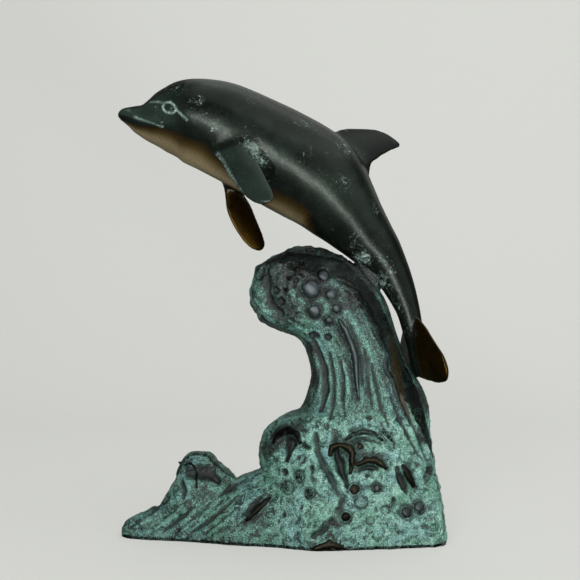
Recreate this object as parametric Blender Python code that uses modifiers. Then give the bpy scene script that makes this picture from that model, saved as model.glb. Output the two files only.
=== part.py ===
"""Dolphin leaping off a curling wave, a small cast brass table figurine.

The real figurine is one rigid casting: the dolphin is brazed to the crest at its tail stock
and again where its flukes lie on the back of the wave, and both joints are cast over.
X runs along the base, Y runs away from the side that is seen, Z is up, and the origin is the
middle of the base's flat underside.
"""

import math

import bmesh
import bpy
import numpy as np
from mathutils import Vector
from mathutils.bvhtree import BVHTree

MM = 0.001

# Wave: base plate, curling stem and crest
BASE_LENGTH = 140.0 * MM
BASE_DEPTH = 56.0 * MM
BASE_HEIGHT = 42.0 * MM
WAVE_HEIGHT = 127.0 * MM
STEM_THICKNESS = 27.0 * MM
CREST_THICKNESS = 33.0 * MM
WAVELET_HEIGHT = 37.0 * MM
WAVELET_THICKNESS = 19.0 * MM

# Dolphin: body along its curved back line
DOLPHIN_LENGTH = 190.0 * MM
BODY_HEIGHT = 44.6 * MM
BODY_WIDTH = 40.0 * MM
BODY_ROLL = math.radians(23.0)

# Fins, each measured from the skin of the body
DORSAL_HEIGHT = 20.4 * MM
DORSAL_CHORD = 28.4 * MM
DORSAL_THICKNESS = 3.4 * MM
FLIPPER_LENGTH = 34.0 * MM
FLIPPER_CHORD = 13.0 * MM
FLIPPER_THICKNESS = 3.6 * MM
FLUKE_SPAN = 45.5 * MM
FLUKE_CHORD = 24.0 * MM
FLUKE_THICKNESS = 5.6 * MM

# Where the fins and the braze sit, as shares of the way from the nose to the fluke notch
FLIPPER_PLACE = 0.281
DORSAL_PLACE = 0.495
SEAT_PLACE = 0.747
FLUKE_PLACE = 0.962

# Brazed joint between the tail stock and the crest
BRAZE_LENGTH = 8.5 * MM
BRAZE_WIDTH = 6.0 * MM
BRAZE_DEPTH = 5.0 * MM

# Relief: the largest bubble, and how far ridges stand and grooves sink
BUBBLE_RADIUS = 3.8 * MM
BUBBLE_RISE = 1.3 * MM
RIDGE_RISE = 1.5 * MM
GROOVE_DEPTH = 1.2 * MM
HOLLOW_DEPTH = 4.5 * MM

# Casting skin: the grid that the forms are fused on, and the facets left on the solid
SKIN_GRID = 0.9 * MM
SKIN_SMOOTHING = 3
FACET_COUNT = 11000
TRIM_DEPTH = 3.0 * MM
RING_POINTS = 40

# The dolphin is drawn in 190 steps along its length, from where its tail stock meets the crest.
STEP = DOLPHIN_LENGTH / 190

# The wave is drawn on a grid of columns along the base and rows up the wave, each one
# millimetre at the sizes above. From the row under the flukes the rows keep step with the
# dolphin, so that both of its joints stay closed, and only the rows below stretch.
COLUMN = BASE_LENGTH / 140
REST_ROW = 60


def level(row):
    """Height of a row above the base's underside: row 127 is the top of the wave."""
    lift = WAVE_HEIGHT - 127 * STEP
    return row * STEP + lift * min(max(row / REST_ROW, 0.0), 1.0)


TAIL_SEAT = Vector((46.5 * COLUMN, 0.0, level(120.0)))


def smooth_through(rows, per_gap):
    """Catmull-Rom curve through rows of numbers, with per_gap samples between neighbours."""
    points = np.array(rows, dtype=float)
    before = 2 * points[0] - points[1]
    after = 2 * points[-1] - points[-2]
    padded = np.vstack([before, points, after])
    t = np.linspace(0, 1, per_gap, endpoint=False)[:, None]
    curve = []
    for a, b, c, d in zip(padded[:-3], padded[1:-2], padded[2:-1], padded[3:]):
        curve.append(b + 0.5 * t * (c - a + t * (2 * a - 5 * b + 4 * c - d + t * (3 * (b - c) + d - a))))
    curve.append(points[-1:])
    return np.vstack(curve)


def oval(count, squareness=2.0):
    """Unit superellipse as count pairs of cosine and sine, rounder or squarer by its exponent."""
    turn = np.linspace(0, 2 * math.pi, count, endpoint=False)
    cosine = np.cos(turn)
    sine = np.sin(turn)
    power = 2 / squareness
    return np.stack([np.sign(cosine) * np.abs(cosine) ** power,
                     np.sign(sine) * np.abs(sine) ** power], axis=1)


def made_object(name, shape, collection):
    """Object in a collection from a finished bmesh."""
    mesh = bpy.data.meshes.new(name)
    shape.to_mesh(mesh)
    shape.free()
    made = bpy.data.objects.new(name, mesh)
    collection.objects.link(made)
    return made


def loft(name, rings):
    """Closed skin through rings of equally many points, with a fan over each end."""
    shell = bmesh.new()
    rows = [[shell.verts.new(point) for point in ring] for ring in rings]
    for lower, upper in zip(rows, rows[1:]):
        for i in range(len(lower)):
            j = (i + 1) % len(lower)
            shell.faces.new((lower[i], lower[j], upper[j], upper[i]))
    for row in (rows[0], rows[-1]):
        middle = shell.verts.new(sum((vert.co for vert in row), Vector()) / len(row))
        for i in range(len(row)):
            shell.faces.new((row[i], row[(i + 1) % len(row)], middle))
    bmesh.ops.recalc_face_normals(shell, faces=shell.faces)
    return made_object(name, shell, forms)


def ring(centre, along, across, shape):
    """Section round centre, with half axes along and across."""
    return [centre + along * float(u) + across * float(v) for u, v in shape]


class Spine:
    """Back line of the dolphin with its section sizes and its rolled frame.

    Each station is x and z from the tail seat, half height and half width, nose to fluke.
    """

    stations = [
        (-118.7, 64.3, 0.7, 0.8),
        (-117.2, 64.3, 2.4, 2.6),
        (-115.0, 64.1, 3.5, 3.7),
        (-112.0, 63.4, 4.9, 5.0),
        (-108.2, 62.3, 7.1, 6.9),
        (-104.0, 61.9, 10.1, 9.6),
        (-97.5, 62.1, 14.4, 13.3),
        (-89.0, 62.0, 18.3, 16.8),
        (-80.0, 60.2, 20.3, 18.4),
        (-71.5, 57.3, 21.3, 19.1),
        (-59.0, 51.4, 21.8, 19.6),
        (-47.5, 45.3, 22.3, 20.0),
        (-36.4, 39.2, 22.2, 19.7),
        (-28.8, 33.1, 21.2, 18.6),
        (-20.5, 23.7, 17.7, 15.2),
        (-14.9, 17.0, 15.0, 12.7),
        (-9.2, 10.2, 12.6, 10.5),
        (-3.6, 3.2, 10.5, 8.6),
        (1.2, -4.3, 8.5, 6.6),
        (5.1, -12.3, 7.0, 5.3),
        (8.3, -20.6, 5.6, 4.3),
        (10.1, -27.7, 4.9, 4.0),
        (11.4, -35.0, 4.1, 4.0),
        (12.3, -42.0, 2.8, 4.0),
        (12.9, -46.0, 1.2, 2.5),
    ]
    fullest_height = 22.3
    fullest_width = 20.0

    def __init__(self):
        curve = smooth_through(self.stations, 4)
        self.place = curve[:, :2] * STEP
        self.half_height = curve[:, 2] * BODY_HEIGHT / 2 / self.fullest_height
        self.half_width = curve[:, 3] * BODY_WIDTH / 2 / self.fullest_width
        leg = np.linalg.norm(np.diff(self.place, axis=0), axis=1)
        self.length = np.concatenate([[0], np.cumsum(leg)])
        self.tangent = np.gradient(self.place, axis=0)

    def at(self, share):
        """Point, frame and half sizes at a share of the length: towards tail, back and near side."""
        s = share * self.length[-1]
        x, z = (np.interp(s, self.length, self.place[:, i]) for i in (0, 1))
        run, rise = (np.interp(s, self.length, self.tangent[:, i]) for i in (0, 1))
        tail = Vector((run, 0, rise)).normalized()
        upright = Vector((-tail.z, 0, tail.x))
        depth = Vector((0, 1, 0))
        back = upright * math.cos(BODY_ROLL) + depth * math.sin(BODY_ROLL)
        near = upright * math.sin(BODY_ROLL) - depth * math.cos(BODY_ROLL)
        high = np.interp(s, self.length, self.half_height)
        wide = np.interp(s, self.length, self.half_width)
        return TAIL_SEAT + Vector((x, 0, z)), tail, back, near, float(high), float(wide)


def body(spine):
    """Spindle body: ovals square to the back line, nose to fluke root."""
    rings = []
    for share in spine.length / spine.length[-1]:
        centre, tail, back, near, high, wide = spine.at(share)
        rings.append(ring(centre, back * high, near * wide, oval(RING_POINTS)))
    return loft("body", rings)


def fin(name, root, span, chord, thickness, rows):
    """Blade of oval sections. Each row is a share of the span, the leading and the trailing
    edge as shares of the chord, and the thickness as a share of the root's."""
    normal = span.cross(chord).normalized()
    rings = []
    for out, lead, trail, thick in smooth_through(rows, 3):
        centre = root + span * float(out) + chord * float((lead + trail) / 2)
        half_chord = chord * float(max(trail - lead, 0.02) / 2)
        rings.append(ring(centre, half_chord, normal * float(thickness / 2 * thick), oval(RING_POINTS)))
    return loft(name, rings)


def dorsal_fin(spine):
    """Swept-back fin on the ridge of the back, half way along."""
    centre, tail, back, near, high, wide = spine.at(DORSAL_PLACE)
    rows = [
        (-0.20, -0.56, 0.64, 1.9),
        (0.0, -0.44, 0.56, 1.45),
        (0.13, -0.35, 0.52, 1.15),
        (0.25, -0.27, 0.50, 1.0),
        (0.42, -0.17, 0.51, 0.85),
        (0.63, -0.02, 0.56, 0.7),
        (0.77, 0.09, 0.60, 0.6),
        (0.89, 0.21, 0.64, 0.5),
        (0.97, 0.36, 0.64, 0.4),
        (1.0, 0.48, 0.61, 0.25),
    ]
    root = centre + back * high
    return fin("dorsal_fin", root, back * DORSAL_HEIGHT, tail * DORSAL_CHORD, DORSAL_THICKNESS, rows)


# Edges of the flippers, root to tip, as shares of the chord. The near one has a full shoulder
# where it leaves the body, and the far one is fuller towards its tip.
NEAR_LEADING = (-0.78, -0.72, -0.62, -0.55, -0.50, -0.41, -0.29, -0.14, -0.02)
NEAR_TRAILING = (0.52, 0.52, 0.50, 0.46, 0.43, 0.40, 0.34, 0.24, 0.14)
FAR_LEADING = (-0.26, -0.26, -0.46, -0.62, -0.62, -0.54, -0.42, -0.26, -0.12)
FAR_TRAILING = (0.52, 0.52, 0.47, 0.40, 0.36, 0.31, 0.21, 0.08, -0.02)
FLIPPER_HANG = 21.5
FLIPPER_SPLAY = 7.5


def flipper(spine, name, side, set_back, sweep, leading, trailing):
    """Pectoral fin low on the chest; side is 1 on the near side and -1 on the far side.

    It is set back from its place by some steps and swept by some steps along its length.
    """
    centre, tail, back, near, high, wide = spine.at(FLIPPER_PLACE)
    outward = near * side
    root = centre + tail * set_back * STEP - back * high * 0.63 + outward * wide * 0.74
    span = (tail * sweep - back * FLIPPER_HANG + outward * FLIPPER_SPLAY) * FLIPPER_LENGTH / 34
    chord = (tail * 0.73 + back * 0.60 + outward * 0.33) * FLIPPER_CHORD
    outs = (-0.22, 0.0, 0.25, 0.50, 0.70, 0.85, 0.94, 0.985, 1.0)
    thicks = (1.3, 1.2, 1.0, 0.85, 0.7, 0.6, 0.5, 0.4, 0.25)
    rows = list(zip(outs, leading, trailing, thicks))
    return fin(name, root, span, chord, FLIPPER_THICKNESS, rows)


def fluke(spine, name, side, lift):
    """Half of the tail fin, swept back to a rounded tip and lifted by a share of its length."""
    centre, tail, back, near, high, wide = spine.at(FLUKE_PLACE)
    rows = [
        (-0.10, -0.66, 0.50, 1.1),
        (0.0, -0.65, 0.50, 1.05),
        (0.22, -0.58, 0.54, 0.9),
        (0.43, -0.43, 0.57, 0.75),
        (0.60, -0.25, 0.59, 0.65),
        (0.75, -0.09, 0.585, 0.55),
        (0.90, 0.06, 0.56, 0.45),
        (0.97, 0.20, 0.50, 0.35),
        (1.0, 0.32, 0.42, 0.25),
    ]
    span = (near * side + back * lift) * FLUKE_SPAN / 2
    return fin(name, centre, span, tail * FLUKE_CHORD, FLUKE_THICKNESS, rows)


def stem():
    """Stem and curling crest: ovals across the flow, from the foot up and over to the curl's tip.

    Each row is the concave edge's x and z, the convex edge's x and z, and half the thickness.
    """
    rows = [
        (-9.0, -3.0, 69.0, -3.0, 26.0),
        (-9.0, 24.0, 67.6, 24.0, 24.0),
        (-10.3, 37.3, 65.6, 37.3, 21.5),
        (-7.2, 46.9, 64.7, 46.9, 19.5),
        (1.1, 53.1, 64.3, 53.1, 17.5),
        (7.7, 56.1, 63.8, 57.5, 16.3),
        (12.1, 66.0, 61.0, 65.0, 14.3),
        (12.0, 75.0, 54.8, 75.0, 13.5),
        (7.7, 85.5, 50.2, 87.3, 13.5),
        (-2.4, 90.1, 44.5, 103.9, 15.2),
        (-9.9, 94.3, 34.0, 117.1, 16.5),
        (-12.4, 99.8, 20.0, 124.6, 16.2),
        (-13.0, 106.6, 6.8, 126.4, 14.2),
        (-12.0, 110.4, 2.0, 125.0, 11.5),
        (-10.8, 115.6, -5.0, 121.8, 6.0),
        (-9.4, 118.0, -7.6, 119.8, 2.0),
    ]
    # The eighth row is the neck of the stem and the eleventh is the thickest part of the curl.
    half_neck = STEM_THICKNESS / 2 / rows[7][4]
    half_curl = CREST_THICKNESS / 2 / rows[10][4]
    half_foot = BASE_DEPTH / 2 / 28
    share = np.interp(np.arange(len(rows)), [0, 7, 10], [half_foot, half_neck, half_curl])
    rings = []
    table = [row[:4] + (row[4] * s,) for row, s in zip(rows, share)]
    for inner_x, inner_z, outer_x, outer_z, half in smooth_through(table, 4):
        inner = Vector((inner_x * COLUMN, 0, level(inner_z)))
        outer = Vector((outer_x * COLUMN, 0, level(outer_z)))
        across = Vector((0, float(half), 0))
        rings.append(ring((inner + outer) / 2, (outer - inner) / 2, across, oval(RING_POINTS, 2.3)))
    return loft("stem", rings)


def mound():
    """Swell that spreads the foot out to the base's outline.

    Each row is a place along the base, half the depth and the height of the swell there.
    """
    rows = [
        (-70.2, 2.5, 4.0),
        (-68.8, 4.6, 6.5),
        (-66.0, 6.4, 8.2),
        (-58.0, 9.2, 11.3),
        (-46.0, 11.2, 15.5),
        (-32.0, 15.0, 19.0),
        (-21.0, 18.6, 24.5),
        (-6.0, 21.5, 31.0),
        (4.0, 25.0, 36.0),
        (12.0, 28.0, 40.0),
        (24.0, 27.8, 42.0),
        (38.0, 26.2, 42.0),
        (52.0, 24.0, 38.0),
        (62.0, 22.4, 33.0),
        (66.8, 20.4, 27.0),
        (68.8, 18.0, 19.0),
        (69.8, 14.5, 10.0),
    ]
    rings = []
    for x, half, high in smooth_through(rows, 3):
        centre = Vector((x * COLUMN, 0, -TRIM_DEPTH))
        across = Vector((0, float(half) * BASE_DEPTH / 56, 0))
        up = Vector((0, 0, float(high) * BASE_HEIGHT / 42 + TRIM_DEPTH))
        shape = oval(RING_POINTS, 2.2)
        rings.append(ring(centre, across, up, np.stack([shape[:, 0], np.maximum(shape[:, 1], -0.02)], axis=1)))
    return loft("mound", rings)


def wavelet():
    """Small wave that rears up near the narrow end of the base.

    Each row is its left and right edge, its height and half its thickness.
    """
    rows = [
        (-56.0, -12.0, 4.0, 11.0),
        (-54.2, -13.8, 12.0, 10.5),
        (-50.6, -16.0, 18.0, 9.8),
        (-47.4, -19.2, 24.0, 8.8),
        (-45.6, -22.6, 28.0, 7.8),
        (-44.2, -26.2, 31.0, 6.6),
        (-42.6, -29.0, 33.8, 5.2),
        (-40.6, -30.8, 35.6, 3.6),
        (-37.8, -32.6, 36.5, 1.5),
    ]
    rings = []
    for left, right, high, half in smooth_through(rows, 4):
        centre = Vector(((left + right) / 2 * COLUMN, 0, float(high) * WAVELET_HEIGHT / 37))
        along = Vector(((right - left) / 2 * COLUMN, 0, 0))
        across = Vector((0, float(half) * WAVELET_THICKNESS / 19, 0))
        rings.append(ring(centre, along, across, oval(RING_POINTS, 2.2)))
    return loft("wavelet", rings)


def braze(spine):
    """Bead of braze that fills the corner between the tail stock and the crest."""
    centre, tail, back, near, high, wide = spine.at(SEAT_PLACE)
    upright = back * math.cos(BODY_ROLL) + near * math.sin(BODY_ROLL)
    under = centre - upright * high
    ball = bmesh.new()
    bmesh.ops.create_uvsphere(ball, u_segments=32, v_segments=16, radius=1.0)
    for vert in ball.verts:
        x, y, z = vert.co
        vert.co = under + tail * x * BRAZE_LENGTH + near * y * BRAZE_WIDTH + back * z * BRAZE_DEPTH
    bmesh.ops.recalc_face_normals(ball, faces=ball.faces)
    return made_object("braze", ball, forms)


# Relief drawn on the near face: columns and rows, then a width and a height as shares
RIDGES = [
    ([(-7.5, 117.5), (-10.0, 113.0), (-10.5, 107.5), (-9.2, 101.5), (-5.6, 96.8), (-0.2, 93.4)], 3.4, 0.8),
    ([(4.2, 113.0), (3.3, 108.5), (3.8, 103.0), (7.0, 98.8)], 2.2, 0.7),
    ([(24.8, 92.7), (28.4, 87.0), (30.6, 80.5), (31.2, 73.7), (31.6, 67.4), (32.4, 60.9)], 2.6, 1.0),
    ([(31.5, 105.0), (36.0, 96.1), (40.8, 88.5), (43.8, 80.0), (44.9, 71.6), (46.0, 64.0)], 3.0, 0.8),
    ([(47.5, 66.0), (51.0, 56.0), (55.5, 46.0), (60.0, 36.0)], 2.8, 0.6),
    ([(11.5, 47.5), (13.6, 41.0), (13.9, 34.0), (16.2, 27.0)], 3.4, 0.8),
    ([(-2.2, 43.5), (-0.6, 47.2), (3.2, 48.9), (6.8, 47.6), (8.6, 43.8)], 2.8, 1.2),
    ([(19.6, 37.5), (20.4, 41.1), (23.4, 42.8), (26.7, 42.3), (29.0, 39.8), (30.2, 35.6), (28.8, 30.2),
      (27.1, 25.4)], 2.6, 1.5),
    ([(29.4, 33.4), (32.8, 35.6), (36.5, 36.2), (40.7, 34.9), (43.6, 32.4)], 2.6, 1.5),
    ([(26.8, 45.0), (31.0, 47.7), (36.5, 48.6), (41.7, 47.4), (46.2, 43.6)], 2.9, 1.3),
    ([(50.6, 33.2), (53.0, 29.4), (55.4, 24.6)], 2.8, 1.4),
    ([(51.0, 36.5), (58.0, 36.0), (64.0, 31.0)], 2.6, 0.7),
    ([(-14.7, 10.6), (-10.5, 14.7), (-6.7, 18.1), (-4.7, 19.6)], 2.6, 1.2),
    ([(13.6, 2.2), (19.8, 3.4), (24.6, 2.4)], 2.8, 0.8),
    ([(-44.5, 21.5), (-42.0, 28.4), (-39.4, 32.6), (-36.6, 34.2), (-33.0, 34.2), (-30.0, 31.6), (-26.2, 27.6),
      (-22.0, 24.6)], 2.6, 0.7),
    ([(-39.0, 32.5), (-38.0, 29.5), (-37.2, 25.5), (-36.8, 21.5)], 1.6, 0.7),
]
GROOVES = [
    ([(-5.6, 117.0), (-6.6, 109.6), (-4.8, 101.6), (-0.6, 97.8)], 2.6, 1.0),
    ([(12.0, 86.0), (15.0, 79.7), (17.4, 72.5), (18.3, 65.6), (17.0, 57.0)], 2.8, 1.2),
    ([(20.1, 78.7), (21.8, 70.0), (21.4, 60.0), (20.0, 53.0)], 2.0, 0.8),
    ([(36.0, 84.0), (38.5, 75.5), (40.5, 66.9), (43.7, 57.0), (48.0, 48.7)], 2.2, 0.9),
    ([(47.0, 66.0), (50.0, 57.0), (54.5, 47.0), (60.8, 36.7)], 2.0, 0.8),
    ([(16.7, 49.8), (17.6, 43.6), (18.3, 37.4), (20.8, 29.4), (24.6, 23.1), (23.9, 16.8), (18.8, 10.6),
      (12.7, 6.2)], 3.4, 1.6),
    ([(48.4, 32.5), (50.4, 27.0), (52.8, 22.5)], 2.0, 1.2),
    ([(-17.5, 11.5), (-12.8, 16.2), (-8.9, 19.8)], 2.4, 0.9),
]
HOLLOWS = [
    ([(3.7, 44.3), (2.5, 39.6), (1.9, 35.6)], 3.2, 0.9),
    ([(23.4, 37.4), (24.4, 32.2), (25.7, 27.6)], 2.7, 0.85),
    ([(34.0, 32.2), (38.0, 32.6)], 2.4, 0.35),
    ([(-38.5, 28.5), (-34.0, 29.0), (-29.5, 25.6)], 4.6, 0.5),
]
BUBBLES = [
    (12.0, 107.9, 1.0), (20.6, 105.8, 0.72), (13.4, 98.6, 0.8), (23.2, 99.5, 0.66), (19.8, 94.0, 0.64),
    (17.4, 113.4, 0.66), (7.1, 29.4, 0.58), (1.2, 30.6, 0.56), (2.0, 25.2, 0.6), (11.7, 23.1, 0.62),
    (30.0, 22.6, 0.62), (39.2, 25.2, 0.58), (33.0, 18.6, 0.62), (51.8, 14.7, 0.68), (57.2, 16.4, 0.62),
    (25.9, 12.6, 0.6), (32.5, 41.3, 0.6), (11.6, 14.0, 0.48), (42.9, 15.8, 0.48), (61.6, 28.3, 0.48),
    (6.0, 17.0, 0.48),
]
FAR_SHIFT = 3.0


def seated(skin, x, z, side):
    """Point of the wave's skin behind a place in the drawing, seen from the near or far side."""
    sight = Vector((x * COLUMN, side * BASE_DEPTH, level(z)))
    hit = skin.ray_cast(sight, Vector((0, -side, 0)))[0]
    if hit is None:
        hit = skin.find_nearest(Vector((x * COLUMN, 0, level(z))))[0]
    return np.array(hit)


def distance_to_path(points, path):
    """Shortest distance from each point to a path of straight legs."""
    shortest = np.full(len(points), np.inf)
    for start, end in zip(path, path[1:]):
        leg = end - start
        share = np.clip((points - start) @ leg / max(leg @ leg, 1e-12), 0, 1)
        gap = np.linalg.norm(points - (start + share[:, None] * leg), axis=1)
        shortest = np.minimum(shortest, gap)
    return shortest


def push(points, path, radius, height, sharpness):
    """How far each point moves: height on the path, falling off to nothing at the radius."""
    share = np.clip(distance_to_path(points, path) / radius, 0, 1)
    return height * (1 - share ** 2) ** sharpness


def sculpt(skin_mesh):
    """Raise ridges and bubbles and sink grooves and hollows in the wave, on both faces."""
    count = len(skin_mesh.vertices)
    flat = np.empty(count * 3)
    skin_mesh.vertices.foreach_get("co", flat)
    points = flat.reshape(count, 3)
    normals = np.array([vert.normal for vert in skin_mesh.vertices])
    faces = [tuple(face.vertices) for face in skin_mesh.polygons]
    skin = BVHTree.FromPolygons([Vector(point) for point in points], faces)
    move = np.zeros(count)
    for side in (-1, 1):
        shift = FAR_SHIFT * (side > 0)
        facing = points[:, 1] * side > -2 * MM
        near = points[facing]
        gain = np.zeros(len(near))
        strokes = [(path, width, rise * RIDGE_RISE, 2.0) for path, width, rise in RIDGES]
        strokes += [(path, width, -sink * GROOVE_DEPTH, 2.0) for path, width, sink in GROOVES]
        strokes += [(path, width, -sink * HOLLOW_DEPTH, 1.5) for path, width, sink in HOLLOWS]
        for path, width, height, sharpness in strokes:
            seats = [seated(skin, x - shift, z, side) for x, z in path]
            gain += push(near, seats, width * COLUMN, height, sharpness)
        for x, z, size in BUBBLES:
            seat = seated(skin, x - shift, z, side)
            gain += push(near, [seat, seat], size * BUBBLE_RADIUS, size * BUBBLE_RISE, 0.7)
        move[facing] += gain
    points = points + normals * move[:, None]
    skin_mesh.vertices.foreach_set("co", points.ravel())
    skin_mesh.update()


def modifier(form, kind, **settings):
    """Add a modifier of a kind with its settings and give it back."""
    added = form.modifiers.new(kind.lower(), kind)
    for setting, value in settings.items():
        setattr(added, setting, value)
    return added


def evaluated_copy(form, name):
    """New object holding a form's mesh with its modifiers applied; the form is removed."""
    graph = bpy.context.evaluated_depsgraph_get()
    graph.update()
    mesh = bpy.data.meshes.new_from_object(form.evaluated_get(graph))
    mesh.name = name
    bpy.data.objects.remove(form)
    copy = bpy.data.objects.new(name, mesh)
    forms.objects.link(copy)
    return copy


def fuse(shells, name):
    """Join overlapping shells and draw one closed skin over them, soft in the corners."""
    with bpy.context.temp_override(active_object=shells[0], selected_editable_objects=shells):
        bpy.ops.object.join()
    whole = shells[0]
    modifier(whole, "REMESH", mode="VOXEL", voxel_size=SKIN_GRID)
    modifier(whole, "SMOOTH", factor=0.5, iterations=SKIN_SMOOTHING)
    return evaluated_copy(whole, name)


def floor_cutter():
    """Box under the floor that trims the underside flat."""
    block = bmesh.new()
    bmesh.ops.create_cube(block, size=1.0)
    box = made_object("floor_cutter", block, cutters)
    box.scale = (2 * BASE_LENGTH, 3 * BASE_DEPTH, 4 * TRIM_DEPTH)
    box.location = (0, 0, -2 * TRIM_DEPTH)
    box.hide_render = True
    box.display_type = "WIRE"
    return box


def patinated_brass():
    """Brass with a dark and verdigris patina."""
    material = bpy.data.materials.new("patinated_brass")
    material.use_nodes = True
    shader = material.node_tree.nodes["Principled BSDF"]
    shader.inputs["Base Color"].default_value = (0.05, 0.12, 0.10, 1)
    shader.inputs["Metallic"].default_value = 0.6
    shader.inputs["Roughness"].default_value = 0.45
    return material


for old in list(bpy.data.objects):
    bpy.data.objects.remove(old)
forms = bpy.data.collections.new("dolphin_on_wave")
cutters = bpy.data.collections.new("cutters")
bpy.context.scene.collection.children.link(forms)
bpy.context.scene.collection.children.link(cutters)

spine = Spine()
shells = [
    body(spine),
    dorsal_fin(spine),
    flipper(spine, "near_flipper", 1, 2.0, 24.5, NEAR_LEADING, NEAR_TRAILING),
    flipper(spine, "far_flipper", -1, 3.4, 28.0, FAR_LEADING, FAR_TRAILING),
    fluke(spine, "near_fluke", 1, 0.05),
    fluke(spine, "far_fluke", -1, 0.13),
    stem(),
    mound(),
    wavelet(),
    braze(spine),
]
casting = fuse(shells, "dolphin_on_wave_casting")
sculpt(casting.data)
casting.data.materials.append(patinated_brass())
casting.data.shade_smooth()
skin_facets = 2 * len(casting.data.polygons)
modifier(casting, "DECIMATE", ratio=FACET_COUNT / skin_facets, use_collapse_triangulate=True)
modifier(casting, "BOOLEAN", operation="DIFFERENCE", object=floor_cutter())
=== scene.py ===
import math

import bpy
import numpy as np
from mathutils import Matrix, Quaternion, Vector
from mathutils.bvhtree import BVHTree


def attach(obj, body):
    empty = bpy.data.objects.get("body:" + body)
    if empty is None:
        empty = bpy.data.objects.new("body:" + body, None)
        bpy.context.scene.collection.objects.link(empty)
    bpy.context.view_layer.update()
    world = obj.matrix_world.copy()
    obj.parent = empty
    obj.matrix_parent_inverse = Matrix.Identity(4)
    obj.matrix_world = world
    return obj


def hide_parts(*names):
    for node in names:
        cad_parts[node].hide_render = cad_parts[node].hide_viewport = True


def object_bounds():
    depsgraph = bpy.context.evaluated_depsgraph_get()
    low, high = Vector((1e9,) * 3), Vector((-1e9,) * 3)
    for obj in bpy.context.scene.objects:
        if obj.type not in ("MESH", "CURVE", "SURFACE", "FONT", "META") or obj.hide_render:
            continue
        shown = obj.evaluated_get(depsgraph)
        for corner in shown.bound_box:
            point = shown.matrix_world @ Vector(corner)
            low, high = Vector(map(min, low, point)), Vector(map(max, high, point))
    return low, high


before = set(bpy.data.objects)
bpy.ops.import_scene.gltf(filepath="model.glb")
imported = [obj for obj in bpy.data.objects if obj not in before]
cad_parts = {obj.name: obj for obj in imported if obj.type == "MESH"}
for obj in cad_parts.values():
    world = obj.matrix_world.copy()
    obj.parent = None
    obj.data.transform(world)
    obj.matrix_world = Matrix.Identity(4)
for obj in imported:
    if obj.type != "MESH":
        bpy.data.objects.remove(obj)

cad_box = [list(corner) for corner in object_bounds()]
CASTING = "dolphin_on_wave_casting"
MM = 0.001


# Camera. The figurine is seen square on from its near side, half a metre away, with its
# whole height in the frame.
VIEW_DISTANCE = 460 * MM
VIEW_WIDTH = 254.4 * MM
VIEW_CENTRE = (3.3 * MM, 107.5 * MM)

camera_data = bpy.data.cameras.new("camera")
camera_data.sensor_width = 36
camera_data.lens = camera_data.sensor_width * VIEW_DISTANCE / VIEW_WIDTH
camera_data.clip_start = 0.01
camera = bpy.data.objects.new("camera", camera_data)
camera.location = (VIEW_CENTRE[0], -VIEW_DISTANCE, VIEW_CENTRE[1])
camera.rotation_euler = (math.pi / 2, 0, 0)
bpy.context.scene.collection.objects.link(camera)
bpy.context.scene.camera = camera
bpy.context.scene.view_settings.view_transform = "Standard"


# Studio. A pale matt sheet runs from under the figurine and curves up far behind it. Soft
# boxes stand at the upper right, overhead and behind, and a long narrow one at the lower front
# draws the highlight along the dolphin's flank.
FLOOR_FRONT = -0.24
FLOOR_BACK = 0.85
SHEET_BEND = 0.45
SHEET_TOP = 2.2
SHEET_HALF_WIDTH = 2.6


def linear(hexed):
    """sRGB hex to linear RGBA: c / 12.92 at the dark end, else (c + 0.055) / 1.055 to the 2.4."""
    srgb = [int(hexed[i:i + 2], 16) / 255 for i in (1, 3, 5)]
    return tuple(c / 12.92 if c <= 0.04045 else ((c + 0.055) / 1.055) ** 2.4 for c in srgb) + (1.0,)


def feed(made, inputs):
    """Give a node's inputs a number, an sRGB hex colour, a socket, or a node's first output."""
    for key, value in inputs.items():
        if isinstance(value, bpy.types.Node):
            value = value.outputs[0]
        if isinstance(value, bpy.types.NodeSocket):
            made.id_data.links.new(value, made.inputs[key])
        else:
            made.inputs[key].default_value = linear(value) if isinstance(value, str) else value


def node(tree, kind, inputs=(), **settings):
    """Add a shader node with its settings and inputs."""
    made = tree.nodes.new("ShaderNode" + kind)
    for key, value in settings.items():
        setattr(made, key, value)
    feed(made, dict(inputs))
    return made


def maths(tree, operation, *values):
    """Maths node on one, two or three values."""
    return node(tree, "Math", enumerate(values), operation=operation)


def material(name):
    """New node material: its tree and its Principled shader."""
    made = bpy.data.materials.new(name)
    made.use_nodes = True
    return made, made.node_tree, made.node_tree.nodes["Principled BSDF"]


def sheet_surface():
    """Backdrop: along u a straight floor, a quarter circle and a straight wall; along v its width."""
    turn = np.linspace(0, math.pi / 2, 24)
    y = np.concatenate([np.linspace(FLOOR_FRONT, FLOOR_BACK - SHEET_BEND, 12),
                        FLOOR_BACK - SHEET_BEND + SHEET_BEND * np.sin(turn), [FLOOR_BACK]])
    z = np.concatenate([np.zeros(12), SHEET_BEND * (1 - np.cos(turn)), [SHEET_TOP]])
    x = np.linspace(-SHEET_HALF_WIDTH, SHEET_HALF_WIDTH, 9)
    verts = np.stack(np.broadcast_arrays(x[None, :], y[:, None], z[:, None]), axis=2).reshape(-1, 3)
    row, column = np.meshgrid(np.arange(len(y) - 1), np.arange(len(x) - 1), indexing="ij")
    first = (row * len(x) + column).ravel()
    quads = np.stack([first, first + 1, first + len(x) + 1, first + len(x)], axis=1)
    return verts, quads.tolist()


def mesh_object(name, verts, faces):
    """Object at the origin from an array of corners and a list of faces, shaded smooth."""
    mesh = bpy.data.meshes.new(name)
    mesh.from_pydata(verts.tolist(), [], faces)
    mesh.shade_smooth()
    made = bpy.data.objects.new(name, mesh)
    bpy.context.scene.collection.objects.link(made)
    return made


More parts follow.
